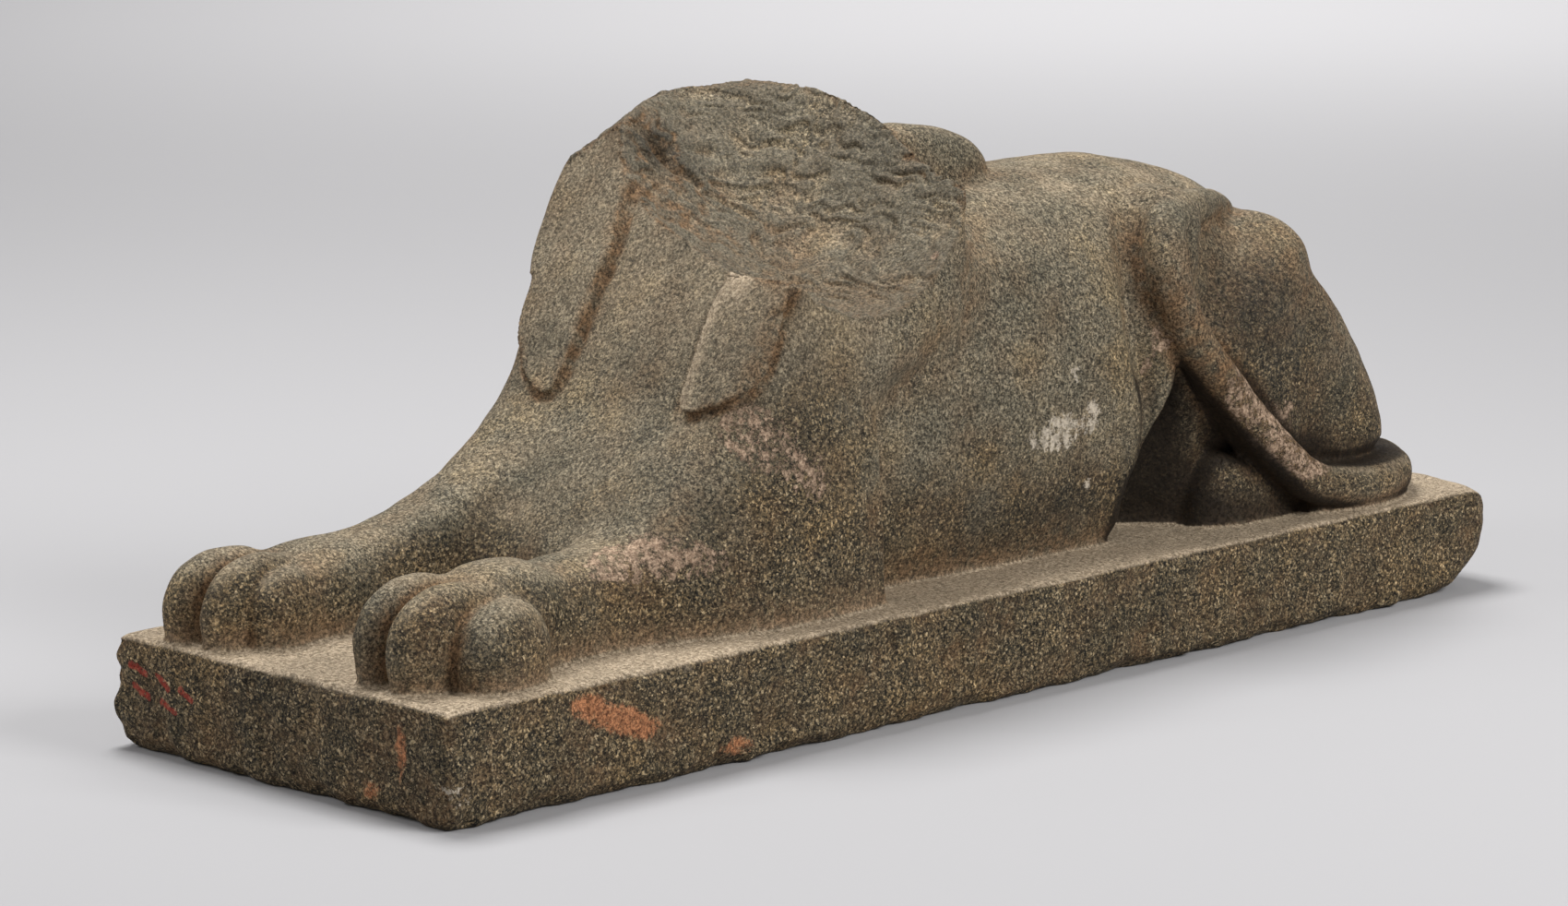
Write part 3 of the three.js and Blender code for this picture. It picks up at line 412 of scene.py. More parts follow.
def tail(x, y, z):
    """Distance to the tail's rope, to the stone left under it and to the low bed inside its curve."""
    plan = oval([x - TAIL_BED_AT[0], y - TAIL_BED_AT[1]], TAIL_BED_RADII, TAIL_BED_SQUARENESS)
    bed = smooth_max(plan, z - TAIL_BED_TOP, TAIL_BED_TOP_ROUND)
    bed = smooth_max(bed, TAIL_BED_FRONT - y, TAIL_BED_FRONT_ROUND)
    under = rope(x + TAIL_UNDER * smooth_step(TAIL_UNDER_NONE, TAIL_UNDER_FULL, z), y, z, tail_line)
    return smooth_min(rope(x, y, z, tail_line), smooth_min(under, bed, TAIL_BLEND), TAIL_BLEND)


# ---------------------------------------------------------------- broken neck
# Head and neck have broken away. The broken face is a tilted hollow, low at the front left and high at
# the back right, with a flatter facet at the right.
BREAK_HEIGHT = 313.5
BREAK_CENTRE_Y = -80.0
BREAK_FALL_LEFT = 0.49
BREAK_RISE_BACK = 0.46
BREAK_HOLLOW_ACROSS = 0.0023
BREAK_TWIST = 0.0008
BREAK_HOLLOW_ALONG = 0.0059
BREAK_CREST, BREAK_CREST_ROUND = 420.0, 9
# Each swell: place on the plan, height, spread.
BREAK_SWELLS = [((0, -170), 11, 40), ((-110, -125), 31, 30)]
RIGHT_FACET_AT, RIGHT_FACET_RISE_BACK, RIGHT_FACET_RISE_LEFT = (-138, -68, 412), 0.45, 0.58
RIGHT_FACET_ROUND = 7
# How much of an upright step the sloping break is really away.
BREAK_LEAN = 0.72


def break_height(x, y):
    """Height of the broken face over the plan: a tilted bowl with swells, under a facet and a crest."""
    v = y - BREAK_CENTRE_Y
    height = BREAK_HEIGHT - BREAK_FALL_LEFT * x + BREAK_RISE_BACK * v
    height = height + BREAK_HOLLOW_ACROSS * x * x - BREAK_TWIST * x * v + BREAK_HOLLOW_ALONG * v * v
    for at, swell, spread in BREAK_SWELLS:
        height = height + swell * np.exp(-((x - at[0]) ** 2 + (y - at[1]) ** 2) / (2 * spread ** 2))
    facet = RIGHT_FACET_AT[2] + RIGHT_FACET_RISE_BACK * (y - RIGHT_FACET_AT[1])
    facet = facet + RIGHT_FACET_RISE_LEFT * (x - RIGHT_FACET_AT[0])
    height = smooth_min(height, facet, RIGHT_FACET_ROUND)
    return smooth_min(height, np.full_like(x, BREAK_CREST), BREAK_CREST_ROUND)


# ---------------------------------------------------------------- whole carving
# All parts are one stone, so their distances are joined into one, and its zero is the carved surface.
# It is meshed on a lattice that is filled only near the surface.
LATTICE_STEP = 2.5
LATTICE_ROOM_LOW, LATTICE_ROOM_HIGH = 1.7, 4
COARSE = 8
BAND_MARGIN = 9.0
BLOCK = 400000
NET_REACH, FINISHED_REACH = 0.6, 1.2
# How wide the joint of each mass with the stone under it is rounded.
THIGH_JOINT, KNEE_JOINT, HOLLOW_JOINT, LEG_JOINT, PLAIT_JOINT = 14, 10, 8, 14, 8
BREAK_EDGE, PAW_JOINT, HIND_PAW_JOINT, TAIL_JOINT, SLAB_JOINT = 3, 9, 6, 4, 5


def carving(x, y, z):
    """Distance to the whole stone, joined in the order in which the masses lie on one another."""
    outward = abs(x)
    shape = smooth_min(body(x, y, z), forequarter(x, y, z), curve_through(SHOULDER_BLEND, z))
    to_tail = rope(outward, y, z, tail_line)
    recess = THIGH_RECESS * smooth_step(THIGH_RECESS_NONE, THIGH_RECESS_FULL, to_tail)
    shape = smooth_min(shape, thigh(outward, y, z) + recess, THIGH_JOINT)
    shape = smooth_min(shape, rope(outward, y, z, knee_line), KNEE_JOINT)
    groove = np.exp(-(line_distance(y, z, flank_groove) / FLANK_GROOVE_WIDTH) ** 2)
    shape = shape + FLANK_GROOVE_DEPTH * groove * smooth_step(FLANK_GROOVE_NONE, FLANK_GROOVE_FULL, outward)
    shape = smooth_max(shape, -leg_hollow(outward, y, z), HOLLOW_JOINT)
    shape = smooth_min(shape, foreleg(x, y, z), LEG_JOINT)
    shape = smooth_min(shape, plait(x, y, z), PLAIT_JOINT)
    shape = smooth_max(shape, (z - break_height(x, y)) * BREAK_LEAN, BREAK_EDGE)
    for paw in PAWS:
        shape = smooth_min(shape, forepaw(x, y, z, *paw), PAW_JOINT)
    shape = smooth_min(shape, hind_paw(outward, y, z), HIND_PAW_JOINT)
    shape = smooth_min(shape, tail(x, y, z), TAIL_JOINT)
    return np.maximum(smooth_min(shape, slab(x, y, z), SLAB_JOINT), -z)


def in_blocks(distance, places):
    """A distance worked out for many places, a block at a time."""
    blocks = np.array_split(places, len(places) // BLOCK + 1)
    return np.concatenate([distance(*block.astype(np.float32).T) for block in blocks])


def lattice_near_surface(distance, low, high, step):
    """Samples on a lattice in the coarse cells that the surface may cross, and nothing elsewhere."""
    cells = np.ceil((high - low) / (step * COARSE)).astype(int)
    coarse = np.stack(np.meshgrid(*[np.arange(n) for n in cells], indexing="ij"), -1).reshape(-1, 3)
    middle = in_blocks(distance, low + (coarse + 0.5) * COARSE * step)
    coarse = coarse[abs(middle) < COARSE * step * math.sqrt(3) / 2 + BAND_MARGIN]
    shape = cells * COARSE + 1
    corner = np.stack(np.meshgrid(*[np.arange(COARSE + 1)] * 3, indexing="ij"), -1).reshape(-1, 3)
    places = (coarse[:, None] * COARSE + corner[None]).reshape(-1, 3)
    keys = np.unique(np.ravel_multi_index(places.T, shape))
    samples = np.full(shape.prod(), np.nan, dtype=np.float32)
    samples[keys] = in_blocks(distance, low + np.stack(np.unravel_index(keys, shape), -1) * step)
    return samples.reshape(shape)


def surface_net(samples, low, step):
    """One point in each lattice cell that the surface crosses, joined into quads round crossed edges."""
    inside, known = samples < 0, ~np.isnan(samples)
    corners = [tuple(slice(d, n - 1 + d) for d, n in zip((i, j, k), samples.shape))
               for i in (0, 1) for j in (0, 1) for k in (0, 1)]
    count = sum(inside[corner].astype(np.int8) for corner in corners)
    whole = np.logical_and.reduce([known[corner] for corner in corners])
    crossed = whole & (count > 0) & (count < 8)
    cell = np.argwhere(crossed)
    index = np.full(crossed.shape, -1, dtype=np.int64)
    index[crossed] = np.arange(len(cell))
    total, crossings = np.zeros((len(cell), 3)), np.zeros(len(cell))
    for axis in range(3):
        for a in (0, 1):
            for b in (0, 1):
                start = cell.copy()
                start[:, (axis + 1) % 3] += a
                start[:, (axis + 2) % 3] += b
                end = start.copy()
                end[:, axis] += 1
                f0, f1 = samples[tuple(start.T)], samples[tuple(end.T)]
                cut = (f0 < 0) != (f1 < 0)
                place = start[cut].astype(float)
                place[:, axis] += f0[cut] / (f0[cut] - f1[cut])
                total[cut] += place
                crossings[cut] += 1
    quads = []
    for axis in range(3):
        first = [slice(None)] * 3
        second = [slice(None)] * 3
        first[axis], second[axis] = slice(0, -1), slice(1, None)
        starts_in = inside[tuple(first)]
        changes = (starts_in != inside[tuple(second)]) & known[tuple(first)] & known[tuple(second)]
        edge = np.argwhere(changes)
        ring = []
        for a, b in ((-1, -1), (0, -1), (0, 0), (-1, 0)):
            around = edge.copy()
            around[:, (axis + 1) % 3] += a
            around[:, (axis + 2) % 3] += b
            ring.append(index[tuple(around.T)])
        ring = np.stack(ring, 1)
        turned = ~starts_in[tuple(edge.T)]
        ring[turned] = ring[turned][:, ::-1]
        quads.append(ring)
    return low + total / crossings[:, None] * step, np.concatenate(quads)


def facing(distance, places, reach):
    """Outward directions of a distance's surface, from its change over a small tetrahedron."""
    ways = np.array([(1, -1, -1), (-1, -1, 1), (-1, 1, -1), (1, 1, 1)], dtype=np.float64)
    slope = sum(way * in_blocks(distance, places + way * reach)[:, None] for way in ways)
    return slope / np.maximum(np.linalg.norm(slope, axis=1, keepdims=True), 1e-6)


lattice_low = np.array([-SLAB_HALF[0], -SLAB_HALF[1], 0.0]) - LATTICE_ROOM_LOW * LATTICE_STEP
lattice_high = np.array([SLAB_HALF[0], SLAB_HALF[1], BREAK_CREST]) + LATTICE_ROOM_HIGH * LATTICE_STEP
samples = lattice_near_surface(carving, lattice_low, lattice_high, LATTICE_STEP)
points, quads = surface_net(samples, lattice_low, LATTICE_STEP)
outwards = facing(carving, points, NET_REACH)
still_off = in_blocks(carving, points)
points -= outwards * np.clip(still_off, -LATTICE_STEP / 2, LATTICE_STEP / 2)[:, None]
points[:, 2] = np.maximum(points[:, 2], 0)

# ---------------------------------------------------------------- wear
# The stone is weathered: slight unevenness of hand dressing all over, rough sides and ragged edges on
# the slab, ribs and splinters on the broken face, thin lines cut or worn into the left flank and left
# shoulder.
# Unevenness as rows of (height, wavelength, seed): hand dressing, and the slab's rough sides.
DRESSED = ((0.35, 60, 1), (0.22, 26, 2))
ROUGH_SIDES = ((0.8, 34, 4), (0.5, 15, 5))
DRESSED_LOSS, ROUGH_LOSS = 0.5, 1.0
SLAB_SIDE_NONE, SLAB_SIDE_FULL = 9, 2
EDGE_WEAR, EDGE_WEAR_WIDTH, EDGE_WEAR_PATCHES = 2.4, 7.0, (0.1, 1.6)
CORNER_WEAR, CORNER_WEAR_CHANGE, CORNER_WEAR_WIDTH = 2.5, 2.0, 9
# Chips of the slab's top edge: place, size, depth.
TOP_CHIPS = [
    ((172, 52, 80), (8, 26, 7), 3.5), ((172, -120, 80), (6, 14, 6), 2.5), ((60, -550, 80), (16, 6, 6), 2.5),
]
# The break's ribs curve round a point of the plan and are bent by slow swirls.
BREAK_RIB_CENTRE, BREAK_RIB_RADIUS = (80.0, -300.0), 260
RIB_BEND = ((7, 70, 31), (2.5, 24, 32))
RIBS = ((0.35, 13, 11), (0.55, 7.5, 12), (0.45, 4.8, 13))
RIB_SWAY, RIB_HEIGHT_SHARE, RIB_DRAWN_OUT = (4, 40, 33), 0.5, 0.16
SPLINTERS, SPLINTER_NICKS, BREAK_LOSS = (0.8, 58, 14), (0.3, 17, 15), 0.4
PIT_AT, PIT_SPREAD, PIT_DEPTH = (-84, -110, 380), 9.0, 5.0
# Cracks of the broken face on the plan, each with its depth.
CRACKS = [
    ([(-96, -124), (-88, -112), (-78, -106), (-66, -92)], 4.5),
    ([(-60, -92), (-48, -82), (-30, -74)], 2.5),
]
CRACK_WIDTH = 3.0
# Thin lines in the side view, each with the least distance out from the middle where it is cut.
THIN_LINES = [
    ([(-60, 330), (-52, 300), (-44, 262), (-18, 228)], 96),
    ([(10, 320), (2, 290), (-8, 258), (-18, 228)], 96),
    ([(-150, 250), (-142, 215), (-128, 175), (-121, 120)], 118),
]
THIN_LINE_DEPTH, THIN_LINE_WIDTH, THIN_LINE_START = 1.6, 3.2, 8


def swirl(places, wavelength, seed, waves=18):
    """Smooth unevenness about -2 to 2: plane waves of many directions, lengths and phases, added up."""
    draw = np.random.default_rng(seed)
    ways = draw.normal(size=(waves, 3))
    ways /= np.linalg.norm(ways, axis=1, keepdims=True)
    lengths = wavelength * draw.uniform(0.65, 1.5, waves)
    phases = draw.uniform(0, 2 * math.pi, waves)
    total = sum(np.sin(places @ way * (2 * math.pi / length) + phase)
                for way, length, phase in zip(ways, lengths, phases))
    return total * math.sqrt(2 / waves)


def swirls(places, rows):
    """Swirls of several heights and wavelengths, added up."""
    return sum(height * swirl(places, wavelength, seed) for height, wavelength, seed in rows)


def near(distance, width):
    """1 at no distance, falling off as a bell of the given width."""
    return np.exp(-(distance / width) ** 2)


def spots(places, rows):
    """Sum of soft spots: each row gives a place, radii and a strength."""
    total = np.zeros(len(places))
    for at, radii, strength in rows:
        away = np.linalg.norm((places - at) / np.array(radii), axis=1)
        total += strength * near(away, 1.0)
    return total


def on_break(places):
    """1 on the broken face of the neck and 0 elsewhere, from the height over or under it."""
    x, y, z = places.T
    return smooth_step(3.0, 1.0, abs(z - break_height(x, y)) * BREAK_LEAN)


def on_slab_side(places):
    """1 on the upright sides of the slab, 0 further in."""
    x, y, z = places.T
    inwards = np.minimum(SLAB_HALF[0] - abs(x), SLAB_HALF[1] - abs(y))
    under_top = smooth_step(SLAB_HEIGHT + 2, SLAB_HEIGHT - 3, z)
    return smooth_step(SLAB_SIDE_NONE, SLAB_SIDE_FULL, inwards) * under_top


def fibre_coordinates(places):
    """Distance from the centre of the break's ribs, and length along a rib, both bent by a slow swirl."""
    x, y, z = places.T
    across = np.hypot(x - BREAK_RIB_CENTRE[0], y - BREAK_RIB_CENTRE[1]) + swirls(places, RIB_BEND)
    along = BREAK_RIB_RADIUS * np.arctan2(y - BREAK_RIB_CENTRE[1], BREAK_RIB_CENTRE[0] - x)
    return np.stack([across, along + swirls(places, [RIB_SWAY]), RIB_HEIGHT_SHARE * z], 1)


def relief(places):
    """Height of the wear over the smooth carving, in millimetres and mostly below zero."""
    x, y, z = places.T
    side, broken = on_slab_side(places), on_break(places)
    dressed = swirls(places, DRESSED)
    height = dressed - DRESSED_LOSS + side * (swirls(places, ROUGH_SIDES) - ROUGH_LOSS)
    edge = near(SLAB_HEIGHT - z, EDGE_WEAR_WIDTH) * side
    worn_edge = edge * EDGE_WEAR * smooth_step(*EDGE_WEAR_PATCHES, swirl(places, 26, 7))
    height -= worn_edge + spots(places, TOP_CHIPS)
    to_side, to_end = SLAB_HALF[0] - abs(x), SLAB_HALF[1] - abs(y)
    corner = near(to_side, CORNER_WEAR_WIDTH) * near(to_end, CORNER_WEAR_WIDTH) * (z < SLAB_HEIGHT + 4)
    height -= corner * (CORNER_WEAR + CORNER_WEAR_CHANGE * swirl(places, 22, 8))
    ribs = swirls(fibre_coordinates(places) * (1.0, RIB_DRAWN_OUT, 1.0), RIBS)
    splinters = swirls(places, [SPLINTERS]) - abs(swirls(places, [SPLINTER_NICKS]))
    height += broken * (ribs + splinters - dressed - BREAK_LOSS)
    away = np.sqrt(sum((values - at) ** 2 for values, at in zip((x, y, z), PIT_AT)))
    height -= broken * PIT_DEPTH * near(away + 1.5 * swirl(places, 10, 16), PIT_SPREAD)
    for line, depth in CRACKS:
        height -= broken * depth * near(line_distance(x + swirl(places, 12, 18), y, line), CRACK_WIDTH)
    for line, least_out in THIN_LINES:
        cut = near(line_distance(y + swirl(places, 40, 17), z, line), THIN_LINE_WIDTH)
        height -= THIN_LINE_DEPTH * cut * smooth_step(least_out, least_out + THIN_LINE_START, x)
    return height * smooth_step(0, 2.5, z)


points += outwards * relief(points)[:, None]
points[:, 2] = np.maximum(points[:, 2], 0)

# The finished net is thinned to a fair number of triangles where it is flattest.
MOST_TRIANGLES = 190000
stone_mesh = bpy.data.meshes.new("sphinx_stone")
stone_mesh.vertices.add(len(points))
stone_mesh.vertices.foreach_set("co", (points / 1000).astype(np.float32).ravel())
stone_mesh.loops.add(quads.size)
stone_mesh.loops.foreach_set("vertex_index", quads.astype(np.int32).ravel())
stone_mesh.polygons.add(len(quads))
stone_mesh.polygons.foreach_set("loop_start", np.arange(0, quads.size, 4, dtype=np.int32))
stone_mesh.update(calc_edges=True)
stone = bpy.data.objects.new("sphinx_stone", stone_mesh)
bpy.context.collection.objects.link(stone)
thinning = stone.modifiers.new("thinning", "DECIMATE")
thinning.ratio = MOST_TRIANGLES / (2 * len(quads))
stone_mesh = bpy.data.meshes.new_from_object(stone.evaluated_get(bpy.context.evaluated_depsgraph_get()))
stone.modifiers.clear()
stone.data = stone_mesh
stone_mesh.name = "sphinx_stone"
stone_mesh.polygons.foreach_set("use_smooth", np.ones(len(stone_mesh.polygons), dtype=bool))

# ---------------------------------------------------------------- where dirt, dust, stains and painted shade lie
# Worked out at every point of the stone: rust in recesses and seams, pale dust on what faces up, where the
# coarse grain shows, and spots of iron stain, lime and old crust. Painted shade darkens the deep hollow under
# the thigh, a few dark spots, and lines at the break's rim and round the headcloth ends; the left end's inner
# edge has a painted highlight.
SKY_NEAR, SKY_FAR, SKY_NEAR_SHARE = 9, 28, 0.55
SEAM_WIDTH = 7
# Painted shade in the deep hollow under the thigh: reach of the look round, and where it begins and is full.
HOLLOW_SHADE_REACH, HOLLOW_SHADE_Y, HOLLOW_SHADE_Z, HOLLOW_SHADE_OUT = 70, (140, 170), (235, 190), 60
# Rust with painted shadow, and a painted highlight, along the headcloth ends: in front of one place and above
# others.
LAPPET_BEHIND, LAPPET_ABOVE = -60, 190
RUST_SHADOW_LINE_OUT, RUST_SHADOW_LINE_WIDTH = 1.5, 4.5
PALE_LINE_IN, PALE_LINE_WIDTH, PALE_LINE_X, PALE_LINE_Z = 2.0, 3.2, (95, 80), (222, 235)
RIM_X, RIM_Y = (10, -40), (-60, -90)
BESIDE_TAIL_OUT, BESIDE_TAIL_WIDTH, BESIDE_TAIL_Z = 3, 7, (330, 250)
CHEST_DUST_Z, CHEST_DUST_Y = (215, 290), -100
RUST_TAIL_Z, CRUST_TAIL_Z = (100, 130), (110, 140)
SLAB_TOP_Z, COARSE_Z = (SLAB_HEIGHT + 9, SLAB_HEIGHT + 3), (200, 110)
# How far a place faces up, from 0 upright to 1 level, where each mark begins and is full.
SLAB_TOP_UP, SEAM_UP, DUST_UP, COARSE_UP = (0.5, 0.9), (0.9, 0.4), (0.45, 0.95), (0.9, 0.4)
# Spots of each mark: place, radii, strength.
COARSE_SPOTS = [((128, 300, 200), (60, 110, 90), 0.55), ((128, -190, 180), (40, 70, 90), 0.5)]
CRUST_SPOTS = [
    ((131, -215, 202), (36, 50, 36), 0.88), ((122, -245, 226), (30, 34, 26), 0.82),
    ((140, -180, 170), (28, 36, 30), 0.75), ((106, -350, 134), (34, 70, 20), 0.9),
    ((108, -315, 144), (28, 36, 18), 0.88), ((130, -270, 130), (28, 46, 26), 0.8),
    ((126, -150, 262), (24, 44, 36), 0.76), ((126, 192, 229), (12, 14, 14), 1.0),
    ((120, 186, 207), (13, 13, 13), 0.95), ((157, 301, 150), (18, 34, 30), 0.88),
    ((160, 338, 118), (20, 40, 20), 0.88), ((138, 335, 165), (20, 46, 34), 0.86),
    ((150, 262, 185), (14, 26, 32), 0.8), ((113, -35, 316), (9, 9, 9), 1.1),
    ((170, -549, 24), (22, 16, 30), 0.9), ((125, -425, 96), (44, 50, 16), 0.82),
    ((95, -545, 96), (60, 20, 18), 0.8), ((-100, -545, 96), (60, 20, 18), 0.8),
    ((140, 420, 120), (30, 60, 24), 0.78),
]
STAIN_SPOTS = [
    ((172, -428, 66), (10, 22, 12), 1.0), ((172, -400, 52), (10, 26, 12), 1.0),
    ((172, -372, 40), (10, 24, 11), 0.95), ((172, -290, 14), (10, 26, 12), 0.9),
    ((124, -550, 48), (10, 8, 28), 1.0), ((95, -550, 16), (20, 8, 12), 0.85),
]
LIME_SPOTS = [
    ((125, 90, 178), (14, 26, 36), 0.92), ((126, 126, 186), (11, 14, 30), 0.88),
    ((125, 62, 172), (10, 40, 12), 0.86), ((123, 122, 130), (12, 12, 14), 0.95),
    ((126, 104, 218), (10, 10, 12), 0.95), ((122, -380, 122), (34, 80, 20), 0.78),
    ((172, -535, 26), (12, 22, 26), 0.88), ((150, -550, 24), (20, 8, 22), 0.85),
]
# Dark spots of painted shade: in the pit and at the back of the broken face, over the haunch, along the low
# flank and on the shoulder.
PAINTED_SHADE_SPOTS = [
    ((-84, -112, 382), (24, 24, 26), 1.0), ((70, -10, 395), (60, 22, 30), 0.45),
    ((145, 290, 262), (50, 70, 60), 0.75), ((125, 350, 200), (50, 60, 60), 0.4),
    ((128, 70, 112), (34, 190, 36), 0.55), ((130, -170, 240), (40, 40, 50), 0.3),
]
co = np.empty(3 * len(stone_mesh.vertices), dtype=np.float32)
stone_mesh.vertices.foreach_get("co", co)
co = co.reshape(-1, 3).astype(np.float64) * 1000
normal = facing(carving, co, FINISHED_REACH)


def open_sky(places, ways, reach):
    """How open a place is: the distance found some way out, over the way gone."""
    return np.clip(in_blocks(carving, places + ways * reach) / reach, 0, 1)


def keep(name, values):
    """Stores one number a point on the stone, for its material."""
    layer = stone_mesh.attributes.new(name, "FLOAT", "POINT")
    layer.data.foreach_set("value", np.clip(values, 0, 1).astype(np.float32))


x, y, z = co.T
facing_up = normal[:, 2]
near_sky, far_sky = open_sky(co, normal, SKY_NEAR), open_sky(co, normal, SKY_FAR)
recess = 1 - (SKY_NEAR_SHARE * near_sky + (1 - SKY_NEAR_SHARE) * far_sky)
seam = np.exp(-np.maximum(z - SLAB_HEIGHT, 0) / SEAM_WIDTH) * (z > SLAB_HEIGHT + 1)
broken = on_break(co)
on_slab_top = smooth_step(*SLAB_TOP_Z, z) * smooth_step(*SLAB_TOP_UP, facing_up)
# Painted shade: the hollow under the left thigh darkened by how closed in each place is, not on the slab top.
hollow_shade = (1 - open_sky(co, normal, HOLLOW_SHADE_REACH)) * (1 - on_slab_top) * (x > HOLLOW_SHADE_OUT)
hollow_shade *= smooth_step(*HOLLOW_SHADE_Y, y) * smooth_step(*HOLLOW_SHADE_Z, z)
lappet = inside_lappet(x, y - curve_through(CHEST_FRONT, z), z)
on_lappet_side = (y < LAPPET_BEHIND) * (1 - broken)
# Just outside the raised headcloth ends: rust, with painted shadow of their raised edges.
lappet_edge_rust_and_shadow = near(lappet + RUST_SHADOW_LINE_OUT, RUST_SHADOW_LINE_WIDTH) * on_lappet_side * (z > LAPPET_ABOVE)
# A pale line of painted highlight along the lit inner edge of the left headcloth end.
pale_reach = (x > 0) * smooth_step(*PALE_LINE_X, x) * smooth_step(*PALE_LINE_Z, z)
lappet_highlight = near(lappet - PALE_LINE_IN, PALE_LINE_WIDTH) * on_lappet_side * pale_reach
# A dark line of painted shade along the front right rim of the broken face.
rim_shade = 4 * broken * (1 - broken) * smooth_step(*RIM_X, x) * smooth_step(*RIM_Y, y)
beside_tail = near(rope(x, y, z, tail_line) - BESIDE_TAIL_OUT, BESIDE_TAIL_WIDTH)
beside_tail *= (x > 0) * smooth_step(*BESIDE_TAIL_Z, z) * (normal[:, 0] > -0.2)
# Rust in recesses, seams and beside the tail, with the painted shade lines of the break's rim and the
# headcloth ends.
rust_and_shade = 1.3 * recess + 0.7 * seam * smooth_step(*SEAM_UP, facing_up) + 0.12 * swirl(co, 45, 41)
rust_and_shade += 1.1 * lappet_edge_rust_and_shadow * (1 - pale_reach) - lappet_highlight + 0.9 * beside_tail * smooth_step(*RUST_TAIL_Z, z)
rust_and_shade += rim_shade - 1.2 * on_slab_top * (1 - seam)
# Pale dust on what faces up and on the upper chest, with the painted highlight of the left headcloth end.
dust_and_highlight = smooth_step(*DUST_UP, facing_up) * (1 - broken) * (0.32 + 0.2 * swirl(co, 50, 42))
dust_and_highlight += 1.6 * lappet_highlight + 0.45 * smooth_step(*CHEST_DUST_Z, z) * (y < CHEST_DUST_Y) * (1 - broken)
low_and_upright = smooth_step(*COARSE_Z, z) * smooth_step(*COARSE_UP, facing_up)
coarse = 0.2 + 0.8 * on_slab_side(co) + 0.5 * low_and_upright
coarse += spots(co, COARSE_SPOTS) + 0.1 * swirl(co, 60, 43)
# Among these marks are painted shade in the hollow under the thigh, in dark spots and in lines at edges, and
# a painted highlight.
MARKS = {
    "hollow_shade": hollow_shade,
    "rust_and_shade": rust_and_shade,
    "dust_and_highlight": dust_and_highlight,
    "settled_and_highlight": on_slab_top + 0.5 * seam * (1 - on_slab_top) + 0.8 * lappet_highlight,
    "coarse": coarse,
    "broken": broken,
    "crust": spots(co, CRUST_SPOTS) + 0.45 * beside_tail * smooth_step(*CRUST_TAIL_Z, z),
    "stain": spots(co, STAIN_SPOTS),
    "lime": spots(co, LIME_SPOTS),
    "painted_shade": spots(co, PAINTED_SHADE_SPOTS),
}
for name, values in MARKS.items():
    keep(name, values)
fibre_layer = stone_mesh.attributes.new("fibre", "FLOAT_VECTOR", "POINT")
fibre_layer.data.foreach_set("vector", (fibre_coordinates(co) / 1000).astype(np.float32).ravel())

# ---------------------------------------------------------------- stone
# Dark granodiorite: black mica and hornblende, grey-green ground, cream and tan feldspar grains of one to
# two millimetres. It is matt, paler and dusty on top, brown in the recesses, with stains and old crusts.
# Painted shade darkens the deepest hollow, a few spots and some edges; one edge has a painted highlight.
stone_finish = bpy.data.materials.new("speckled_stone")
stone_finish.use_nodes = True
tree = stone_finish.node_tree
shader = tree.nodes["Principled BSDF"]


def add(kind, inputs=(), **settings):
    """A new node with its settings, and each input set to a number or joined to another node's output."""
    made = tree.nodes.new(kind)
    for name, value in settings.items():
        setattr(made, name, value)
    for name, value in dict(inputs).items():
        if isinstance(value, bpy.types.NodeSocket):
            tree.links.new(value, made.inputs[name])
        else:
            made.inputs[name].default_value = value
    return made


def blend(amount, first, second, mode="MIX"):
    """Colour mixed from two colours by an amount."""
    mixer = add("ShaderNodeMix", data_type="RGBA", blend_type=mode)
    for socket, value in ((mixer.inputs[0], amount), (mixer.inputs[6], first), (mixer.inputs[7], second)):
        if isinstance(value, bpy.types.NodeSocket):
            tree.links.new(value, socket)
        else:
            socket.default_value = value
    return mixer.outputs[2]


def sums(operation, first, second=0.0, third=0.0, clamp=False):
    """One sum of numbers or outputs."""
    made = add("ShaderNodeMath", operation=operation, use_clamp=clamp)
    for socket, value in zip(made.inputs, (first, second, third)):
        if isinstance(value, bpy.types.NodeSocket):
            tree.links.new(value, socket)
        else:
            socket.default_value = value
    return made.outputs[0]


def between(value, low, high):
    """A smooth rise from 0 to 1 as a value goes from low to high."""
    made = add("ShaderNodeMapRange", {"Value": value, "From Min": low, "From Max": high},
               interpolation_type="SMOOTHSTEP")
    return made.outputs["Result"]


def noise(vector, scale, detail=3.0, roughness=0.55):
    """Smooth noise with so many rises and falls a metre."""
    inputs = {"Vector": vector, "Scale": scale, "Detail": detail, "Roughness": roughness}
    return add("ShaderNodeTexNoise", inputs).outputs[0]


def grains(vector, scale):
    """A random number for each grain of a packed field of grains."""
    cells = add("ShaderNodeTexVoronoi", {"Vector": vector, "Scale": scale})
    return add("ShaderNodeSeparateColor", {"Color": cells.outputs["Color"]}).outputs[0]


def stored(name):
    """A number kept on the stone's points."""
    return add("ShaderNodeAttribute", attribute_name=name).outputs["Fac"]


def ramp(value, stops):
    """Colours at places from 0 to 1, mixed evenly between them."""
    made = add("ShaderNodeValToRGB", {"Fac": value})
    band = made.color_ramp
    while len(band.elements) < len(stops):
        band.elements.new(0.5)
    for element, (place, colour) in zip(band.elements, stops):
        element.position = place
        element.color = (*colour, 1)
    return made.outputs["Color"]


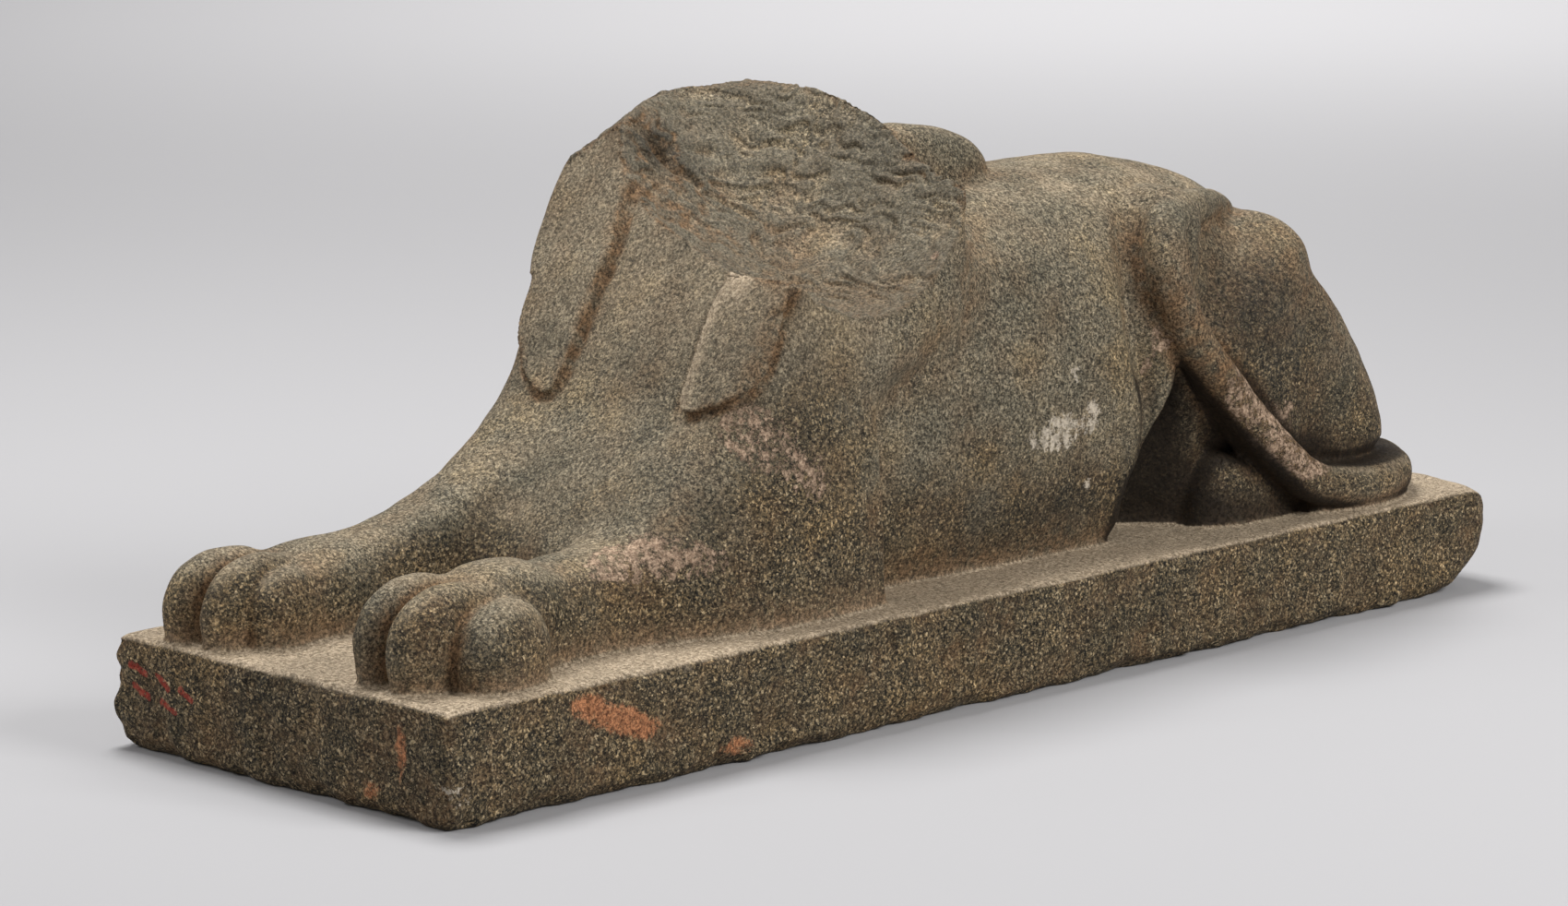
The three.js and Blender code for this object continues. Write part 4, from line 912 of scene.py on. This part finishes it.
# Colours of the grains by their share, of the fine ground between them, and how the ground shades them.
GRAIN_COLOURS = [
    (0.00, (0.008, 0.007, 0.006)), (0.34, (0.018, 0.016, 0.011)), (0.46, (0.060, 0.050, 0.033)),
    (0.64, (0.105, 0.084, 0.051)), (0.74, (0.180, 0.134, 0.074)), (0.86, (0.270, 0.200, 0.112)),
    (0.93, (0.440, 0.336, 0.200)), (1.00, (0.600, 0.490, 0.320)),
]
FINE_COLOURS = [
    (0.00, (0.028, 0.025, 0.018)), (0.40, (0.120, 0.104, 0.074)), (0.70, (0.235, 0.202, 0.140)),
    (1.00, (0.520, 0.440, 0.300)),
]
GROUND_SHADES = [(0.0, (0.25, 0.25, 0.25)), (0.5, (0.9, 0.9, 0.9)), (1.0, (1.9, 1.8, 1.6))]
BROKEN_COLOURS = [
    (0.32, (0.045, 0.040, 0.030)), (0.50, (0.185, 0.163, 0.120)), (0.68, (0.400, 0.350, 0.260)),
]
SLOW_TONES = [(0.32, (0.70, 0.73, 0.74)), (0.50, (1.0, 1.0, 1.0)), (0.68, (1.30, 1.20, 1.04))]
SMALL_GRAINS, LARGE_GRAINS, GROUND_GRAINS, BROKEN_GRAINS = 1050.0, 560.0, 430.0, 420.0
# Layers over the grain: how much each hides, then its colour, or its dark and its pale colour.
# Dust and settled dust also carry a painted highlight, and rust carries lines of painted shade.
DUST_AND_HIGHLIGHT = (0.72, (0.270, 0.205, 0.130), (0.560, 0.440, 0.300))
SETTLED_DUST_AND_HIGHLIGHT = (0.9, (0.240, 0.180, 0.112), (0.640, 0.510, 0.365))
# Colour of the dark spots of painted shade.
PAINTED_SHADE = (0.8, (0.022, 0.020, 0.017))
RUST_AND_SHADE = (0.85, (0.034, 0.018, 0.008), (0.330, 0.190, 0.092))
STAIN = (0.85, (0.150, 0.052, 0.022), (0.680, 0.290, 0.130))
CRUST = (0.9, (0.240, 0.155, 0.098), (0.600, 0.430, 0.300))
LIME = (0.85, (0.600, 0.520, 0.410))
# Colour of the painted shade in the hollow under the thigh.
HOLLOW_SHADE = (0.92, (0.014, 0.009, 0.005))
RED_PAINT = (0.85, (0.330, 0.040, 0.026))

place = add("ShaderNodeTexCoord").outputs["Object"]
fibre_place = add("ShaderNodeAttribute", attribute_name="fibre").outputs["Vector"]
broken_here = stored("broken")
small_grain = grains(place, SMALL_GRAINS)
large_grain = grains(place, LARGE_GRAINS)
ground = between(noise(place, GROUND_GRAINS, 5.0, 0.9), 0.40, 0.60)


def layer(amount, hides, dark, pale=None):
    """The colour so far under a layer of one colour, or of two mottled as the ground is."""
    over = blend(ground, (*dark, 1), (*pale, 1)) if pale else (*dark, 1)
    return blend(sums("MULTIPLY", amount, hides), colour, over)


def worn(name, scale, detail, roughness, low, high):
    """A mark kept on the stone, worn through in patches by noise."""
    patches = between(noise(place, scale, detail, roughness), low, high)
    return sums("MULTIPLY", stored(name), patches, clamp=True)


def islands(name, scale, detail, low, high):
    """A mark kept on the stone, broken up into islands with crisp edges."""
    return between(sums("MULTIPLY", stored(name), noise(place, scale, detail, 0.85)), low, high)


coarse_colour = blend(0.55, ramp(small_grain, GRAIN_COLOURS), ramp(large_grain, GRAIN_COLOURS))
coarse_colour = blend(0.75, coarse_colour, ramp(ground, GROUND_SHADES), "MULTIPLY")
fine_colour = blend(0.30, ramp(ground, FINE_COLOURS), ramp(small_grain, GRAIN_COLOURS))
patchy = sums("MULTIPLY_ADD", noise(place, 22.0, 4.0, 0.6), 0.6, -0.3)
colour = blend(between(sums("ADD", stored("coarse"), patchy), 0.15, 0.85), fine_colour, coarse_colour)

# Slow changes of tone over the block, then dust with a painted highlight, the broken face, spots of painted
# shade, rust with lines of painted shade, settled dust, stains, crusts, lime, and the painted shade of the
# hollow.
colour = blend(1.0, colour, ramp(noise(place, 16.0, 5.0, 0.65), SLOW_TONES), "MULTIPLY")
dust_and_highlight_amount = worn("dust_and_highlight", 110.0, 5.0, 0.75, 0.22, 0.66)
# Dust, with the painted highlight on the left headcloth end.
colour = layer(dust_and_highlight_amount, *DUST_AND_HIGHLIGHT)
broken_grain = noise(fibre_place, BROKEN_GRAINS, 4.0, 0.7)
broken_colour = blend(0.4, fine_colour, ramp(broken_grain, BROKEN_COLOURS))
colour = blend(sums("MULTIPLY", broken_here, 0.92), colour, broken_colour)
# Dark spots of painted shade.
colour = layer(stored("painted_shade"), *PAINTED_SHADE)
# Rust, with lines of painted shade at the break's rim and round the headcloth ends.
colour = layer(worn("rust_and_shade", 75.0, 5.0, 0.7, 0.30, 0.60), *RUST_AND_SHADE)
# Settled dust, with some of the painted highlight.
colour = layer(worn("settled_and_highlight", 140.0, 6.0, 0.85, 0.20, 0.55), *SETTLED_DUST_AND_HIGHLIGHT)
colour = layer(islands("stain", 150.0, 6.0, 0.30, 0.46), *STAIN)
crust = islands("crust", 120.0, 7.0, 0.47, 0.51)
colour = layer(crust, *CRUST)
colour = layer(islands("lime", 130.0, 7.0, 0.46, 0.50), *LIME)
# Painted shade: the deep hollow under the thigh, darkened nearly to black.
colour = layer(between(stored("hollow_shade"), 0.12, 0.55), *HOLLOW_SHADE)

# A few dabs of old red paint on the front end of the slab, left of the middle: short brush strokes only.
DABS = [
    ((-0.152, 0.061), (-0.138, 0.056)), ((-0.150, 0.047), (-0.134, 0.040)),
    ((-0.126, 0.057), (-0.112, 0.050)), ((-0.121, 0.040), (-0.105, 0.035)),
    ((-0.100, 0.052), (-0.087, 0.046)),
]
DAB_HALF_WIDTH, DAB_EDGE, DAB_UNSTEADY = 0.0030, 0.0016, 0.004
DAB_FACE = (-0.540, -0.545)
parts = add("ShaderNodeSeparateXYZ", {0: place}).outputs
unsteady = sums("MULTIPLY_ADD", noise(place, 160.0, 2.0), DAB_UNSTEADY, -DAB_UNSTEADY / 2)


def dab(start, end):
    """Distance on the end face from a place to a short stroke."""
    run = (end[0] - start[0], end[1] - start[1])
    across, up = sums("SUBTRACT", parts[0], start[0]), sums("SUBTRACT", parts[2], start[1])
    length = run[0] ** 2 + run[1] ** 2
    along = sums("MULTIPLY_ADD", across, run[0] / length, sums("MULTIPLY", up, run[1] / length), clamp=True)
    aside = sums("MULTIPLY_ADD", along, -run[0], across)
    over = sums("MULTIPLY_ADD", along, -run[1], up)
    return sums("SQRT", sums("ADD", sums("MULTIPLY", aside, aside), sums("MULTIPLY", over, over)))


nearest = 1.0
for start, end in DABS:
    nearest = sums("MINIMUM", nearest, dab(start, end))
painted = between(sums("ADD", nearest, unsteady), DAB_HALF_WIDTH, DAB_EDGE)
painted = sums("MULTIPLY", painted, between(parts[1], *DAB_FACE))
painted = sums("MULTIPLY", painted, between(noise(place, 420.0, 4.0, 0.8), 0.36, 0.50))
colour = layer(painted, *RED_PAINT)

# Height for the bump: grains, worn pits and the splinters of the broken face.
pits = between(noise(place, 300.0, 5.0, 0.75), 0.30, 0.52)
height = sums("ADD", sums("MULTIPLY", small_grain, 0.35), sums("MULTIPLY", pits, 1.0))
splinter_height = sums("MULTIPLY", sums("MULTIPLY", broken_grain, broken_here), 4.0)
height = sums("ADD", height, splinter_height)
height = sums("ADD", height, sums("MULTIPLY", crust, 0.8))
bump = add("ShaderNodeBump", {"Height": height, "Strength": 0.9, "Distance": 0.001})
roughness = sums("ADD", 0.72, sums("MULTIPLY", dust_and_highlight_amount, 0.2))
tree.links.new(colour, shader.inputs["Base Color"])
tree.links.new(roughness, shader.inputs["Roughness"])
tree.links.new(bump.outputs["Normal"], shader.inputs["Normal"])
shader.inputs["Specular IOR Level"].default_value = 0.22
stone_mesh.materials.append(stone_finish)
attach(stone, "root")
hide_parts("sphinx_statue")

# ---------------------------------------------------------------- floor, light and camera
# A plain pale floor that runs up into a plain pale backdrop far behind. Soft light from above, a key from
# the statue's left, a weak fill from the front, and a light low on the backdrop.
FLOOR_FRONT, FLOOR_BACK, FLOOR_SIDE, WALL_HEIGHT, CURVE = -7.0, 9.0, 12.0, 9.0, 2.5
FLOOR_COLOUR = (0.405, 0.40, 0.407, 1)
STUDIO_COLOUR, STUDIO_STRENGTH = (0.82, 0.81, 0.815, 1), 0.36
turn = math.radians(44.7)
profile = [(FLOOR_FRONT, 0.0)]
profile += [(FLOOR_BACK - CURVE + CURVE * math.sin(a), CURVE - CURVE * math.cos(a))
            for a in np.linspace(0, math.pi / 2, 25)]
profile += [(FLOOR_BACK, WALL_HEIGHT)]
back_way, side_way = (-math.sin(turn), math.cos(turn)), (math.cos(turn), math.sin(turn))
rows = [[(back_way[0] * b + side_way[0] * s, back_way[1] * b + side_way[1] * s, h) for b, h in profile]
        for s in (-FLOOR_SIDE, FLOOR_SIDE)]
floor_mesh = bpy.data.meshes.new("floor")
count = len(profile)
strips = [(i, i + count, i + count + 1, i + 1) for i in range(count - 1)]
floor_mesh.from_pydata(rows[0] + rows[1], [], strips)
floor_mesh.polygons.foreach_set("use_smooth", [True] * (count - 1))
floor = bpy.data.objects.new("floor", floor_mesh)
bpy.context.collection.objects.link(floor)
floor_finish = bpy.data.materials.new("pale_floor")
floor_finish.use_nodes = True
floor_shader = floor_finish.node_tree.nodes["Principled BSDF"]
floor_shader.inputs["Base Color"].default_value = FLOOR_COLOUR
floor_shader.inputs["Roughness"].default_value = 0.9
floor_shader.inputs["Specular IOR Level"].default_value = 0.1
floor_mesh.materials.append(floor_finish)

world = bpy.data.worlds.new("studio")
world.use_nodes = True
world.node_tree.nodes["Background"].inputs["Color"].default_value = STUDIO_COLOUR
world.node_tree.nodes["Background"].inputs["Strength"].default_value = STUDIO_STRENGTH
bpy.context.scene.world = world
bpy.context.scene.view_settings.view_transform = "Standard"
# Each light: name, place, aim, width, power.
LIGHTS = [
    ("top", (-0.9, 0.0, 3.2), (0, 0, 0.2), 1.4, 112),
    ("key", (2.8, 0.6, 2.0), (0, 0, 0.2), 1.3, 84),
    ("fill", (-1.2, -3.0, 2.4), (0, 0, 0.3), 1.3, 34),
    ("backdrop", (-2.9, 3.9, 3.4), (-4.1, 5.1, 0.6), 2.4, 225),
]
for name, at, aim, width, power in LIGHTS:
    lamp = bpy.data.lights.new(name, "AREA")
    lamp.size = width
    lamp.energy = power
    holder = bpy.data.objects.new(name, lamp)
    holder.location = at
    holder.rotation_euler = (Vector(aim) - Vector(at)).to_track_quat("-Z", "Y").to_euler()
    bpy.context.collection.objects.link(holder)

CAMERA_AT = (2.57718, -2.67273, 0.84243)
CAMERA_AZIMUTH, CAMERA_ELEVATION = math.radians(44.735), math.radians(10.498)
LENS = 118.59
camera_data = bpy.data.cameras.new("camera")
camera_data.sensor_width = 36.0
camera_data.lens = LENS
camera_data.clip_end = 100.0
camera = bpy.data.objects.new("camera", camera_data)
camera.location = CAMERA_AT
level = math.cos(CAMERA_ELEVATION)
sideways, rearwards = math.sin(CAMERA_AZIMUTH) * level, -math.cos(CAMERA_AZIMUTH) * level
backwards = Vector((sideways, rearwards, math.sin(CAMERA_ELEVATION)))
camera.rotation_euler = (-backwards).to_track_quat("-Z", "Y").to_euler()
bpy.context.collection.objects.link(camera)
bpy.context.scene.camera = camera
